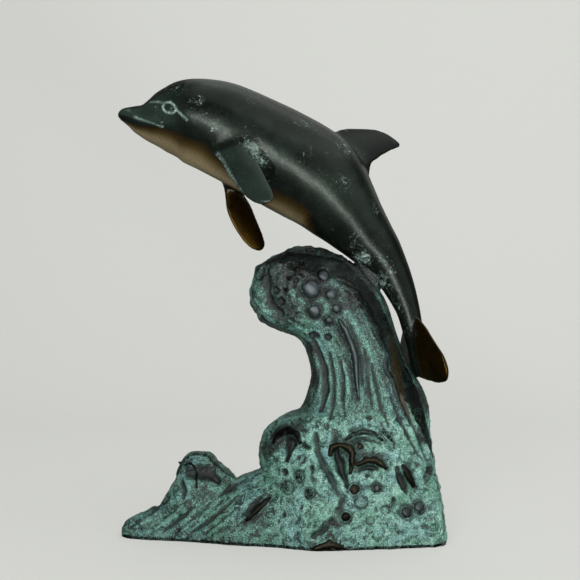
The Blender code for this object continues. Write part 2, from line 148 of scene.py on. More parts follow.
# Matt paper, evened by a glow of its own colour that only the camera sees, and dim in reflections.
backdrop = mesh_object("backdrop", *sheet_surface())
paper, tree, shader = material("matt_paper_sheet")
feed(shader, {"Base Color": "#D9DAD6", "Roughness": 0.9, "Specular IOR Level": 0.1})
rays = node(tree, "LightPath").outputs
looked_at = maths(tree, "MULTIPLY", rays["Is Camera Ray"], 0.55)
mirrored = maths(tree, "MULTIPLY", rays["Is Glossy Ray"], 0.8)
even = node(tree, "Emission", {"Color": "#D4D5D0", "Strength": 1.0})
dim = node(tree, "Emission", {"Color": "#D4D5D0", "Strength": 0.05})
dimmed = node(tree, "MixShader", {0: mirrored, 1: shader, 2: dim})
evened = node(tree, "MixShader", {0: looked_at, 1: dimmed, 2: even})
feed(tree.nodes["Material Output"], {"Surface": evened})
backdrop.data.materials.append(paper)


def soft_box(name, place, width, height, watts, turn=0.0):
    """Area lamp that faces the middle of the figurine, turned about its aim by an angle."""
    lamp = bpy.data.lights.new(name, "AREA")
    lamp.shape = "RECTANGLE"
    lamp.size = width
    lamp.size_y = height
    lamp.energy = watts
    box = bpy.data.objects.new(name, lamp)
    box.location = place
    aim = Vector((0, 0, 100 * MM)) - Vector(place)
    box.rotation_euler = (aim.to_track_quat("-Z", "Y") @ Quaternion((0, 0, 1), turn)).to_euler()
    bpy.context.scene.collection.objects.link(box)


soft_box("key", (0.70, -0.50, 0.62), 1.1, 1.1, 3.4)
soft_box("strip", (0.05, -0.92, 0.11), 1.35, 0.09, 12.5, math.radians(-42))
soft_box("top", (0.30, -0.10, 1.05), 1.2, 1.2, 4.6)
soft_box("rear", (0.3, 0.6, 0.75), 1.0, 1.0, 1.6)

world = bpy.data.worlds.new("studio")
bpy.context.scene.world = world
world.use_nodes = True
sky = world.node_tree
sky.nodes.clear()
rays = node(sky, "LightPath").outputs
seen = maths(sky, "MAXIMUM", rays["Is Camera Ray"], rays["Is Transmission Ray"])
ambient = node(sky, "Background", {"Color": "#F2F3F0", "Strength": 0.30})
room = node(sky, "Background", {"Color": "#D3D4CF", "Strength": 0.06})
pale = node(sky, "Background", {"Color": "#D3D4CF", "Strength": 1.0})
mirrored = node(sky, "MixShader", {0: rays["Is Glossy Ray"], 1: ambient, 2: room})
either = node(sky, "MixShader", {0: seen, 1: mirrored, 2: pale})
node(sky, "OutputWorld", {"Surface": either})


# Dolphin. Hollow-cast brass, chased smooth, then darkened with a waxed brown-black patina.
# The belly and the undersides of the fins were left bright and have toned to cream and brown;
# the belly's cream lightens towards its underside as a painted reflection of the pale floor.
SEAT = np.array([46.5, 0.0, 120.0]) * MM
ROLL = math.radians(23)
RING_POINTS = 72
DOLPHIN_GRID = 0.5 * MM
STATIONS = [
    (-118.7, 64.3, 0.7, 0.8),
    (-117.2, 64.3, 2.4, 2.6),
    (-115.0, 64.1, 3.5, 3.7),
    (-112.0, 63.4, 4.9, 5.0),
    (-108.2, 62.3, 7.1, 6.9),
    (-104.0, 61.9, 10.1, 9.6),
    (-97.5, 62.1, 14.4, 13.3),
    (-89.0, 62.0, 18.3, 16.8),
    (-80.0, 60.2, 20.3, 18.4),
    (-71.5, 57.3, 21.3, 19.1),
    (-59.0, 51.4, 21.8, 19.6),
    (-47.5, 45.3, 22.3, 20.0),
    (-36.4, 39.2, 22.2, 19.7),
    (-28.8, 33.1, 21.2, 18.6),
    (-20.5, 23.7, 17.7, 15.2),
    (-14.9, 17.0, 15.0, 12.7),
    (-9.2, 10.2, 12.6, 10.5),
    (-3.6, 3.2, 10.5, 8.6),
    (1.2, -4.3, 8.5, 6.6),
    (5.1, -12.3, 7.0, 5.3),
    (8.3, -20.6, 5.6, 4.3),
    (10.1, -27.7, 4.9, 4.0),
    (11.4, -35.0, 4.1, 4.0),
    (12.3, -42.0, 2.8, 4.0),
    (12.9, -46.0, 1.2, 2.5),
]
# Where the fins and the braze sit, as shares of the length, and the fins' sizes in millimetres.
FLIPPER_PLACE = 0.281
DORSAL_PLACE = 0.495
SEAT_PLACE = 0.747
FLUKE_PLACE = 0.962
FLIPPER_HANG = 21.5
FLIPPER_SPLAY = 7.5
FLIPPER_CHORD = 13
FLIPPER_THICKNESS = 3.6
DORSAL_HEIGHT = 20.4
DORSAL_CHORD = 28.4
DORSAL_THICKNESS = 3.4
FLUKE_HALF_SPAN = 22.75
FLUKE_CHORD = 24
FLUKE_THICKNESS = 5.6


def smooth_through(rows, per_gap):
    """Catmull-Rom curve: between rows b and c, a cubic whose slopes are half of c - a and d - b."""
    points = np.array(rows, dtype=float)
    padded = np.vstack([2 * points[0] - points[1], points, 2 * points[-1] - points[-2]])
    t = np.linspace(0, 1, per_gap, endpoint=False)[:, None]
    curve = [b + 0.5 * t * (c - a + t * (2 * a - 5 * b + 4 * c - d + t * (3 * (b - c) + d - a)))
             for a, b, c, d in zip(padded[:-3], padded[1:-2], padded[2:-1], padded[3:])]
    return np.vstack(curve + [points[-1:]])


def oval(squareness=2.0):
    """Unit superellipse: sign times the size of cosine and sine to the power 2 / squareness."""
    turn = np.linspace(0, 2 * math.pi, RING_POINTS, endpoint=False)
    circle = np.stack([np.cos(turn), np.sin(turn)], axis=1)
    return np.sign(circle) * np.abs(circle) ** (2 / squareness)


def tube(centres, along, across, shape):
    """Closed skin: point (i, k) is centre i + along i * shape x k + across i * shape y k, and a
    pole at the mean of the first and the last ring closes each end."""
    rings = centres[:, None] + along[:, None] * shape[None, :, :1] + across[:, None] * shape[None, :, 1:]
    count, around = rings.shape[:2]
    verts = np.vstack([rings.reshape(-1, 3), rings[:1].mean(1), rings[-1:].mean(1)])
    first = (np.arange(count - 1)[:, None] * around + np.arange(around)).ravel()
    after = (np.arange(count - 1)[:, None] * around + (np.arange(around) + 1) % around).ravel()
    quads = np.stack([first, after, after + around, first + around], axis=1)
    k = np.arange(around)
    low = np.stack([(k + 1) % around, k, np.full(around, count * around)], axis=1)
    high = np.stack([k, (k + 1) % around, np.full(around, around + 1)], axis=1) + (count - 1) * around
    return verts, quads.tolist() + low.tolist() + high.tolist()


def sphere(centre, axes):
    """Ellipsoid as a tube: rings at the cosine of u with radius the sine of u, round axis 0."""
    u = np.linspace(0.02, math.pi - 0.02, 24)[:, None]
    return tube(centre + axes[0] * np.cos(u), axes[1] * np.sin(u), axes[2] * np.sin(u), oval())


spine_curve = smooth_through(STATIONS, 8)
spine_xz = spine_curve[:, :2] * MM
spine_high = spine_curve[:, 2] * MM
spine_wide = spine_curve[:, 3] * MM
spine_run = np.concatenate([[0], np.cumsum(np.linalg.norm(np.diff(spine_xz, axis=0), axis=1))])
spine_share = spine_run / spine_run[-1]
spine_slope = np.gradient(spine_xz, axis=0)


def station(share):
    """Centres, frames and half sizes at shares of the length: tailward, backward and near axes."""
    share = np.atleast_1d(np.asarray(share, dtype=float))
    x, z = (np.interp(share, spine_share, spine_xz[:, i]) for i in (0, 1))
    run, rise = (np.interp(share, spine_share, spine_slope[:, i]) for i in (0, 1))
    size = np.hypot(run, rise)
    tail = np.stack([run / size, 0 * x, rise / size], axis=1)
    upright = np.stack([-tail[:, 2], 0 * x, tail[:, 0]], axis=1)
    depth = np.array([0.0, 1.0, 0.0])
    back = upright * math.cos(ROLL) + depth * math.sin(ROLL)
    near = upright * math.sin(ROLL) - depth * math.cos(ROLL)
    high = np.interp(share, spine_share, spine_high)[:, None]
    wide = np.interp(share, spine_share, spine_wide)[:, None]
    return SEAT + np.stack([x, 0 * x, z], axis=1), tail, back, near, high, wide


def blade(root, span, chord, thickness, rows):
    """Fin skin: oval sections across the chord, carried out along the span.

    Each row is a share of the span, the leading and trailing edge as shares of the chord, and
    the thickness as a share of the root's."""
    out, lead, trail, thick = smooth_through(rows, 6).T[:, :, None]
    normal = np.cross(span, chord)
    normal = normal / np.linalg.norm(normal)
    centres = root + span * out + chord * (lead + trail) / 2
    return tube(centres, chord * np.maximum(trail - lead, 0.02) / 2, normal * thickness / 2 * thick, oval())


def flipper_frame(side, set_back, sweep):
    """Root, span and chord of a pectoral fin; side is 1 for the near one and -1 for the far one."""
    centre, tail, back, near, high, wide = (part[0] for part in station(FLIPPER_PLACE))
    outward = near * side
    root = centre + tail * set_back * MM - back * high * 0.63 + outward * wide * 0.74
    span = (tail * sweep - back * FLIPPER_HANG + outward * FLIPPER_SPLAY) * MM
    chord = (tail * 0.73 + back * 0.60 + outward * 0.33) * FLIPPER_CHORD * MM
    return root, span, chord


NEAR_FLIPPER = [
    (-0.22, -0.78, 0.52, 1.3),
    (0.0, -0.72, 0.52, 1.2),
    (0.25, -0.62, 0.50, 1.0),
    (0.50, -0.55, 0.46, 0.85),
    (0.70, -0.50, 0.43, 0.7),
    (0.85, -0.41, 0.40, 0.6),
    (0.94, -0.29, 0.34, 0.5),
    (0.985, -0.14, 0.24, 0.4),
    (1.0, -0.02, 0.14, 0.25),
]
FAR_FLIPPER = [
    (-0.22, -0.26, 0.52, 1.3),
    (0.0, -0.26, 0.52, 1.2),
    (0.25, -0.46, 0.47, 1.0),
    (0.50, -0.62, 0.40, 0.85),
    (0.70, -0.62, 0.36, 0.7),
    (0.85, -0.54, 0.31, 0.6),
    (0.94, -0.42, 0.21, 0.5),
    (0.985, -0.26, 0.08, 0.4),
    (1.0, -0.12, -0.02, 0.25),
]
FLUKE_ROWS = [
    (-0.10, -0.66, 0.50, 1.1),
    (0.0, -0.65, 0.50, 1.05),
    (0.22, -0.58, 0.54, 0.9),
    (0.43, -0.43, 0.57, 0.75),
    (0.60, -0.25, 0.59, 0.65),
    (0.75, -0.09, 0.585, 0.55),
    (0.90, 0.06, 0.56, 0.45),
    (0.97, 0.20, 0.50, 0.35),
    (1.0, 0.32, 0.42, 0.25),
]
DORSAL_ROWS = [
    (-0.20, -0.56, 0.64, 1.9),
    (0.0, -0.44, 0.56, 1.45),
    (0.13, -0.35, 0.52, 1.15),
    (0.25, -0.27, 0.50, 1.0),
    (0.42, -0.17, 0.51, 0.85),
    (0.63, -0.02, 0.56, 0.7),
    (0.77, 0.09, 0.60, 0.6),
    (0.89, 0.21, 0.64, 0.5),
    (0.97, 0.36, 0.64, 0.4),
    (1.0, 0.48, 0.61, 0.25),
]


def fused(name, skins, grid, rounds):
    """One closed skin over overlapping ones: a voxel remesh at the grid size, then relaxed."""
    offset = 0
    verts = []
    faces = []
    for points, quads in skins:
        verts.append(points)
        faces += [[corner + offset for corner in quad] for quad in quads]
        offset += len(points)
    raw = mesh_object(name + "_raw", np.vstack(verts), faces)
    remesh = raw.modifiers.new("fuse", "REMESH")
    remesh.mode = "VOXEL"
    remesh.voxel_size = grid
    relax = raw.modifiers.new("relax", "SMOOTH")
    relax.factor = 0.5
    relax.iterations = rounds
    graph = bpy.context.evaluated_depsgraph_get()
    mesh = bpy.data.meshes.new_from_object(raw.evaluated_get(graph))
    mesh.name = name
    bpy.data.objects.remove(raw)
    made = bpy.data.objects.new(name, mesh)
    bpy.context.scene.collection.objects.link(made)
    return made


def points_and_normals(mesh):
    """Vertex places and normals as two arrays."""
    places = np.empty(len(mesh.vertices) * 3)
    normals = np.empty(len(mesh.vertices) * 3)
    mesh.vertices.foreach_get("co", places)
    mesh.vertices.foreach_get("normal", normals)
    return places.reshape(-1, 3), normals.reshape(-1, 3)


def set_points(mesh, points):
    """Put vertex places back into the mesh."""
    mesh.vertices.foreach_set("co", points.ravel())
    mesh.update()
    mesh.shade_smooth()


def paint(mesh, masks):
    """Store each mask, a number for every vertex, as an attribute that a material reads."""
    for name, values in masks.items():
        layer = mesh.attributes.new(name, "FLOAT", "POINT")
        layer.data.foreach_set("value", values.astype(np.float32))


def painted(tree, names):
    """Sockets that read the painted masks of those names."""
    return {name: node(tree, "Attribute", attribute_name=name).outputs["Fac"] for name in names}


def ease(low, high, values):
    """Smoothstep: 0 below low, 1 above high, and 3t^2 - 2t^3 between."""
    t = np.clip((values - low) / (high - low), 0, 1)
    return t * t * (3 - 2 * t)


def cloud(points, size, seed):
    """Random field from -1 to 1: hashed values on a lattice of that cell, joined by smoothsteps."""
    cell = points / size + 7.31 * seed
    base = np.floor(cell).astype(np.int64)
    t = cell - base
    t = t * t * (3 - 2 * t)
    total = np.zeros(len(points))
    for corner in range(8):
        step = np.array([corner & 1, corner >> 1 & 1, corner >> 2 & 1])
        at = base + step
        code = (at[:, 0] * 73856093) ^ (at[:, 1] * 19349663) ^ (at[:, 2] * 83492791) ^ (seed * 7919)
        value = ((code * 1103515245 + 12345) >> 9 & 0xFFFF) / 0x8000 - 1
        total += np.prod(np.where(step, t, 1 - t), axis=1) * value
    return total


def within(points, path, radii):
    """How far each point is from a path of straight legs, as a share of the radius there."""
    least = np.full(len(points), np.inf)
    for start, end, wide, narrow in zip(path, path[1:], radii, radii[1:]):
        leg = end - start
        share = np.clip((points - start) @ leg / max(leg @ leg, 1e-12), 0, 1)
        gap = np.linalg.norm(points - (start + share[:, None] * leg), axis=1)
        least = np.minimum(least, gap / (wide + (narrow - wide) * share))
    return least


def on_body(share, angle):
    """Skin point of the body at a share of its length and an angle up from the belly line."""
    centre, tail, back, near, high, wide = station(share)
    turn = np.radians(np.atleast_1d(angle))[:, None]
    return centre - back * high * np.cos(turn) + near * wide * np.sin(turn)


centres, _, backs, nears, highs, wides = station(spine_share)
near_flipper = flipper_frame(1, set_back=2.0, sweep=24.5)
far_flipper = flipper_frame(-1, set_back=3.4, sweep=28.0)
fin_centre, fin_tail, fin_back, _, fin_high, _ = (part[0] for part in station(DORSAL_PLACE))
fluke_centre, fluke_tail, fluke_back, fluke_near = (part[0] for part in station(FLUKE_PLACE)[:4])
fluke_spans = [(fluke_near * side + fluke_back * lift) * FLUKE_HALF_SPAN * MM
               for side, lift in ((1, 0.05), (-1, 0.13))]
fluke_chord = fluke_tail * FLUKE_CHORD * MM
dorsal_fin = (fin_centre + fin_back * fin_high, fin_back * DORSAL_HEIGHT * MM, fin_tail * DORSAL_CHORD * MM)
dolphin = fused("dolphin", [
    tube(centres, backs * highs, nears * wides, oval()),
    blade(*dorsal_fin, DORSAL_THICKNESS * MM, DORSAL_ROWS),
    blade(*near_flipper, FLIPPER_THICKNESS * MM, NEAR_FLIPPER),
    blade(*far_flipper, FLIPPER_THICKNESS * MM, FAR_FLIPPER),
    blade(fluke_centre, fluke_spans[0], fluke_chord, FLUKE_THICKNESS * MM, FLUKE_ROWS),
    blade(fluke_centre, fluke_spans[1], fluke_chord, FLUKE_THICKNESS * MM, FLUKE_ROWS),
], DOLPHIN_GRID, 5)


# How many points are measured at a time.
BATCH = 20000


def body_places(points):
    """Each point's share of the length, angle up from the belly line and ratio to the skin."""
    flat = points[:, [0, 2]] - SEAT[[0, 2]]
    nearest = np.zeros(len(points), dtype=int)
    for first in range(0, len(points), BATCH):
        gap = flat[first:first + BATCH, None] - spine_xz[None]
        nearest[first:first + BATCH] = np.argmin((gap ** 2).sum(2), axis=1)
    share = spine_share[nearest]
    centre, tail, back, near, high, wide = station(share)
    offset = points - centre
    up = (offset * back).sum(1) / high[:, 0]
    out = (offset * near).sum(1) / wide[:, 0]
    return share, np.degrees(np.arctan2(out, -up)), np.hypot(up, out)


def blade_places(points, root, span, chord):
    """Each point's share along a fin's span and chord, and its distance off the fin's plane."""
    normal = np.cross(span, chord)
    normal = normal / np.linalg.norm(normal)
    axes = np.linalg.inv(np.stack([span, chord, normal], axis=1))
    return ((points - root) @ axes.T).T


def mesh_edges(mesh):
    """Both ends of every edge as two rows of vertex numbers."""
    ends = np.empty(2 * len(mesh.edges), dtype=np.int32)
    mesh.edges.foreach_get("vertices", ends)
    return ends.reshape(-1, 2).T


def spread(values, edges, rounds):
    """Even out a number over the skin: each round averages it with the mean of its neighbours."""
    first, second = edges
    count = len(values)
    neighbours = np.maximum(np.bincount(first, minlength=count) + np.bincount(second, minlength=count), 1)
    for _ in range(rounds):
        total = np.bincount(first, values[second], count) + np.bincount(second, values[first], count)
        values = (values + total / neighbours) / 2
    return values


# The casting runs from the body into each fin through a wide fillet: the middle of a fin's root,
# then how far the fillet reaches along its span, along its chord and off its plane.
points, normals = points_and_normals(dolphin.data)
edges = mesh_edges(dolphin.data)
at_root = np.zeros(len(points))
FLIPPER_FILLET = (0.1, (0.46, 0.16), (1.35, 0.95), (11 * MM, 7 * MM))
DORSAL_FILLET = (0.0, (0.34, 0.12), (0.9, 0.7), (8 * MM, 5 * MM))
for fin, (middle, reach_out, reach_along, reach_off) in (
        (near_flipper, FLIPPER_FILLET), (far_flipper, FLIPPER_FILLET), (dorsal_fin, DORSAL_FILLET)):
    out, chordwise, off = blade_places(points, *fin)
    here = ease(*reach_out, np.abs(out)) * ease(*reach_along, np.abs(chordwise + middle))
    at_root = np.maximum(at_root, here * ease(*reach_off, np.abs(off)))
softened = np.stack([spread(axis, edges, 90) for axis in points.T], axis=1)
set_points(dolphin.data, points + at_root[:, None] * (softened - points))
points, normals = points_and_normals(dolphin.data)
share, angle, ratio = body_places(points)
side_angle = np.abs(angle)

# The eye, the brow and the mouth are chased into the brass with a fine punch: a share of the
# length and an angle for each point, on both sides of the head. The lip stands out above the
# mouth line, with a crease over it.
EYE_RING = [(0.114, 84), (0.121, 89), (0.131, 88), (0.140, 82), (0.147, 74), (0.139, 70), (0.126, 71),
            (0.117, 77), (0.114, 84)]
EYE_CORNER = [(0.147, 74), (0.156, 69), (0.166, 65), (0.174, 62)]
# The pale line under the lip is a painted highlight, drawn as powder in a shallow groove.
LIP_HIGHLIGHT = [(0.046, 62), (0.062, 60), (0.084, 55), (0.106, 49), (0.114, 48)]
BROW = [(0.080, 110), (0.092, 102), (0.104, 95), (0.116, 90)]
MOUTH = [(0.006, 56), (0.021, 47), (0.041, 43), (0.060, 49), (0.084, 50), (0.110, 50)]
LIP = [(0.012, 84), (0.022, 76), (0.039, 69), (0.059, 66), (0.084, 60), (0.108, 54)]
CREASE = [(0.030, 100), (0.050, 90), (0.070, 82), (0.090, 73), (0.108, 64)]
move = np.zeros(len(points))
powder_and_highlight = np.zeros(len(points))
for side in (1, -1):
    for path, width, depth, mark in ((EYE_RING, 0.65, -0.35, 1.0), (EYE_CORNER, 0.55, -0.25, 0.9),
                                     (BROW, 0.7, -0.22, 0.6), (MOUTH, 1.0, -0.45, 0.0), (LIP, 1.7, 0.80, 0.0),
                                     (CREASE, 1.7, -0.85, 0.0), (LIP_HIGHLIGHT, 0.6, -0.10, 0.75)):
        shares, angles = np.array(path, dtype=float).T
        gap = within(points, on_body(shares, side * angles), np.full(len(path), width * MM))
        press = np.clip(1 - gap ** 2, 0, 1) ** 2
        move += depth * MM * press
        powder_and_highlight = np.maximum(powder_and_highlight, mark * np.clip(1.15 - gap, 0, 1))
    eye = on_body(0.130, side * 79)
    gap = np.linalg.norm(points - eye, axis=1) / (1.6 * MM)
    move += 0.40 * MM * np.clip(1 - gap ** 2, 0, 1)

# Behind each flipper lies a short hollow that the file did not reach.
HOLLOW_PATCH = [(0.352, 49), (0.388, 41)]
for side in (1, -1):
    shares, angles = np.array(HOLLOW_PATCH, dtype=float).T
    gap = within(points, on_body(shares, side * angles), (5.0 * MM, 5.0 * MM))
    move -= 0.8 * MM * np.clip(1 - gap ** 2, 0, 1) ** 1.5
move += 0.10 * MM * cloud(points, 9 * MM, 1) + 0.03 * MM * cloud(points, 2.5 * MM, 2)
set_points(dolphin.data, points + normals * move[:, None])

# Bright metal: the belly up to its masked edge, and the faces of the fins that turn to it. The
# dorsal fin is darkened as painted shade, and the brow and the near faces of the flippers are hazed.
BELLY_EDGE = [
    (0, -5), (0.012, 8), (0.036, 26), (0.071, 43), (0.107, 47), (0.16, 40), (0.225, 39), (0.28, 32),
    (0.357, 29), (0.4, 25), (0.437, 28), (0.506, 30), (0.543, 30), (0.56, 18), (0.58, 6), (0.6, -20),
    (1, -20),
]
edge_share, edge_angle = np.array(BELLY_EDGE, dtype=float).T
edge = np.interp(share, edge_share, edge_angle) + 0.7 * cloud(points, 4 * MM, 3)
belly = ease(1.6, -1.6, side_angle - edge) * ease(1.12, 1.04, ratio)
belly_depth = ease(0, -34, side_angle - edge)
inner = np.zeros(len(points))
haze = 0.9 * ease(0.17, 0.10, share) * ease(125, 100, side_angle) * ease(45, 60, side_angle)
dorsal_shade = ease(1.0, 1.3, ratio) * ease(110, 150, side_angle) * (share > 0.4) * (share < 0.72)
for side, fin in ((1, near_flipper), (-1, far_flipper)):
    out, chordwise, off = blade_places(points, *fin)
    on_fin = ease(0.02, 0.10, out) * (out < 1.1) * (np.abs(chordwise) < 0.75) * (np.abs(off) < 2.6 * MM)
    normal = np.cross(fin[1], fin[2])
    facing = -(normals @ (normal / np.linalg.norm(normal))) * side
    inner = np.maximum(inner, on_fin * ease(1.06, 1.16, ratio) * ease(-0.35, 0.15, facing))
    haze = np.maximum(haze, 0.5 * on_fin * ease(0.2, -0.3, facing))
    # Powder along the rims of the flippers' outer faces, partly a painted catch-light on those rims.
    powder_and_highlight = np.maximum(powder_and_highlight, 0.4 * on_fin * ease(0.40, 0.50, np.abs(chordwise)) * ease(0.2, -0.3, facing))
for span in fluke_spans:
    out, chordwise, off = blade_places(points, fluke_centre, span, fluke_chord)
    on_fin = ease(0.16, 0.26, out) * (out < 1.1) * (np.abs(chordwise) < 0.9) * (np.abs(off) < 3.5 * MM)
    inner = np.maximum(inner, on_fin * ease(-0.30, 0.15, -(normals @ fluke_back)))

# Verdigris: powder left in the chasing, round the fins' roots and at the braze, and flecks.
FLECKS = [
    (0.139, 112, 8, 0.5), (0.187, 88, 6, 0.5), (0.205, 76, 5, 0.45), (0.238, 62, 5, 0.55),
    (0.316, 62, 7, 0.6), (0.34, 66, 6, 0.5), (0.45, 84, 6, 0.45), (0.368, 52, 8, 0.75),
    (0.296, 121, 7, 0.4), (0.414, 119, 9, 0.45), (0.5, 128, 10, 0.6), (0.545, 88, 8, 0.5),
    (0.628, 113, 7, 0.45), (0.52, 165, 7, 0.5), (0.7, 24, 9, 0.95), (0.734, 70, 7, 0.55),
    (0.659, 40, 6, 0.55), (0.78, 15, 8, 0.85), (0.77, 60, 6, 0.5), (0.85, 20, 7, 0.6),
    (0.92, 40, 6, 0.45), (0.1, 88, 7, 0.35),
]
fleck = np.zeros(len(points))
for spot_share, spot_angle, radius, strength in FLECKS:
    for side in (1, -1):
        gap = np.linalg.norm(points - on_body(spot_share, side * spot_angle), axis=1) / (radius * MM)
        fleck = np.maximum(fleck, strength * np.clip(1 - gap, 0, 1))
dolphin_masks = {"belly": belly, "inner": inner, "powder_and_highlight": powder_and_highlight, "fleck": fleck, "haze": haze, "dorsal_shade": dorsal_shade,
                 "belly_depth": belly_depth}
paint(dolphin.data, dolphin_masks)


def mix(tree, share, under, over, kind="MIX"):
    """Colour mix: under where the share is 0, over where it is 1."""
    return node(tree, "MixRGB", {"Fac": share, "Color1": under, "Color2": over}, blend_type=kind)


def ramp(tree, value, *stops):
    """Colour ramp through stops of a place and an sRGB hex colour."""
    made = node(tree, "ValToRGB", {"Fac": value})
    elements = made.color_ramp.elements
    while len(elements) < len(stops):
        elements.new(0.5)
    for element, (place, colour) in zip(elements, stops):
        element.position = place
        element.color = linear(colour)
    return made


def remap(tree, value, low, high, to_low=0.0, to_high=1.0):
    """Map the range from low to high on to another one, and hold it there."""
    return node(tree, "MapRange", {"Value": value, "From Min": low, "From Max": high,
                                   "To Min": to_low, "To Max": to_high})


def noise(tree, place, size, detail, roughness, distortion=0.0):
    """Cloudy noise whose largest features are about that size."""
    return node(tree, "TexNoise", {"Vector": place, "Scale": 1 / size, "Detail": detail,
                                   "Roughness": roughness, "Distortion": distortion})


# Waxed liver patina on brass: near black with a brown-green cast and a soft broad shine. Bare
# brass shows cream on the belly, lightening towards its underside as a painted reflection, and
# brown inside the fins, and verdigris powder is matt.
waxed, tree, shader = material("waxed_liver_patina_on_brass")
place = node(tree, "TexCoord").outputs["Object"]
masks = painted(tree, dolphin_masks)
drift = noise(tree, place, 26 * MM, 6, 0.62)
grain = noise(tree, place, 1.1 * MM, 4, 0.65)
powder = noise(tree, place, 3.0 * MM, 9, 0.72, 1.4)
scratch = noise(tree, place, 7 * MM, 4, 0.55, 2.5)
patina = ramp(tree, drift, (0.34, "#040705"), (0.5, "#0A0F0C"), (0.66, "#171F1A"))
# Painted shade: the dorsal fin is darkened towards near black.
dorsal_shaded = mix(tree, maths(tree, "MULTIPLY", masks["dorsal_shade"], 0.75), patina, "#030405")
hazed = mix(tree, mix(tree, 1.0, masks["haze"], drift, "MULTIPLY"), dorsal_shaded, "#3A4A42")
# Toned brass, darker at the belly's masked edge; the cream lightening towards the underside is a painted
# reflection of the pale floor.
toned = ramp(tree, masks["belly_depth"], (0.0, "#281D0B"), (0.30, "#4D4024"), (1.0, "#8E8062"))
worn_tone = ramp(tree, drift, (0.35, "#A8A090"), (0.6, "#FFFFFF"))
cream = mix(tree, 0.6, toned, worn_tone, "MULTIPLY")
brown = ramp(tree, drift, (0.3, "#1A1204"), (0.55, "#3A2A0B"), (0.8, "#60481C"))
verdigris = ramp(tree, grain, (0.35, "#33453F"), (0.5, "#6C827B"), (0.65, "#B4C8C1"))
with_belly = mix(tree, masks["belly"], hazed, cream)
with_inner = mix(tree, masks["inner"], with_belly, brown)

# Powder lies in solid spots and, round them, in fine lines where one noise crosses its middle.
bloom = maths(tree, "MULTIPLY_ADD", masks["fleck"], 0.42, -0.02)
powdery = maths(tree, "ADD", powder, bloom)
solid = remap(tree, powdery, 0.72, 0.88, 0.0, 0.8)
off_line = maths(tree, "ABSOLUTE", maths(tree, "SUBTRACT", scratch, 0.5))
lined = maths(tree, "MULTIPLY", remap(tree, off_line, 0.022, 0.0), remap(tree, powdery, 0.57, 0.76, 0.0, 0.9))
flecked = maths(tree, "MAXIMUM", solid, lined)
flecks_here = maths(tree, "MULTIPLY", flecked, maths(tree, "SUBTRACT", 1.0, masks["belly"]))
powder_mask = maths(tree, "MAXIMUM", flecks_here, masks["powder_and_highlight"])
bright = maths(tree, "MAXIMUM", maths(tree, "MULTIPLY", masks["belly"], 0.35), masks["inner"])
bare = remap(tree, bright, 0.0, 1.0, 0.25, 0.9)
shine = remap(tree, grain, 0.3, 0.7, 0.25, 0.36)
roughness = maths(tree, "MULTIPLY_ADD", powder_mask, 0.35, shine)
roughness.use_clamp = True
feed(shader, {
    "Base Color": mix(tree, powder_mask, with_inner, verdigris),
    "Metallic": maths(tree, "MULTIPLY", bare, maths(tree, "SUBTRACT", 1.0, powder_mask)),
    "Roughness": roughness,
    "Normal": node(tree, "Bump", {"Strength": 0.25, "Distance": 0.15 * MM, "Height": powdery}),
    "Specular IOR Level": 0.36,
    "Specular Tint": "#DCE8DC",
})
dolphin.data.materials.append(waxed)
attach(dolphin, "root")
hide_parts(CASTING)


# Wave. The other half of the casting: a flat-bottomed base, a stem of running water and a
# curling crest, left rough from the mould, with verdigris over all but its rubbed high places.
WAVE_GRID = 0.62 * MM
TRIM_DEPTH = 3.0 * MM
BRAZE_RADII = (8.5, 6.0, 5.0)
STEM_ROWS = [
    (-9.0, -3.0, 69.0, -3.0, 26.0),
    (-9.0, 24.0, 67.6, 24.0, 24.0),
    (-10.3, 37.3, 65.6, 37.3, 21.5),
    (-7.2, 46.9, 64.7, 46.9, 19.5),
    (1.1, 53.1, 64.3, 53.1, 17.5),
    (7.7, 56.1, 63.8, 57.5, 16.3),
    (12.1, 66.0, 61.0, 65.0, 14.3),
    (12.0, 75.0, 54.8, 75.0, 13.5),
    (7.7, 85.5, 50.2, 87.3, 13.5),
    (-2.4, 90.1, 44.5, 103.9, 15.2),
    (-9.9, 94.3, 34.0, 117.1, 16.5),
    (-12.4, 99.8, 20.0, 124.6, 16.2),
    (-13.0, 106.6, 6.8, 126.4, 14.2),
    (-12.0, 110.4, 2.0, 125.0, 11.5),
    (-10.8, 115.6, -5.0, 121.8, 6.0),
    (-9.4, 118.0, -7.6, 119.8, 2.0),
]
MOUND_ROWS = [
    (-70.2, 2.5, 4.0),
    (-68.8, 4.6, 6.5),
    (-66.0, 6.4, 8.2),
    (-58.0, 9.2, 11.3),
    (-46.0, 11.2, 15.5),
    (-32.0, 15.0, 19.0),
    (-21.0, 18.6, 24.5),
    (-6.0, 21.5, 31.0),
    (4.0, 25.0, 36.0),
    (12.0, 28.0, 40.0),
    (24.0, 27.8, 42.0),
    (38.0, 26.2, 42.0),
    (52.0, 24.0, 38.0),
    (62.0, 22.4, 33.0),
    (66.8, 20.4, 27.0),
    (68.8, 18.0, 19.0),
    (69.8, 14.5, 10.0),
]
WAVELET_ROWS = [
    (-56.0, -12.0, 4.0, 11.0),
    (-54.2, -13.8, 12.0, 10.5),
    (-50.6, -16.0, 18.0, 9.8),
    (-47.4, -19.2, 24.0, 8.8),
    (-45.6, -22.6, 28.0, 7.8),
    (-44.2, -26.2, 31.0, 6.6),
    (-42.6, -29.0, 33.8, 5.2),
    (-40.6, -30.8, 35.6, 3.6),
    (-37.8, -32.6, 36.5, 1.5),
]


def flat(x, z):
    """Points of the drawing plane, millimetres to metres, with no depth."""
    return np.stack([x, 0 * x, z], axis=1) * MM


def depthwise(half):
    """Half depths in millimetres, as vectors toward the far side."""
    return np.outer(half * MM, (0, 1, 0))


def stem_skin():
    """Ovals across the flow from the concave to the convex edge, foot to curl."""
    in_x, in_z, out_x, out_z, half = smooth_through(STEM_ROWS, 8).T
    inner_edge = flat(in_x, in_z)
    outer_edge = flat(out_x, out_z)
    middle = (inner_edge + outer_edge) / 2
    return tube(middle, (outer_edge - inner_edge) / 2, depthwise(half), oval(2.3))


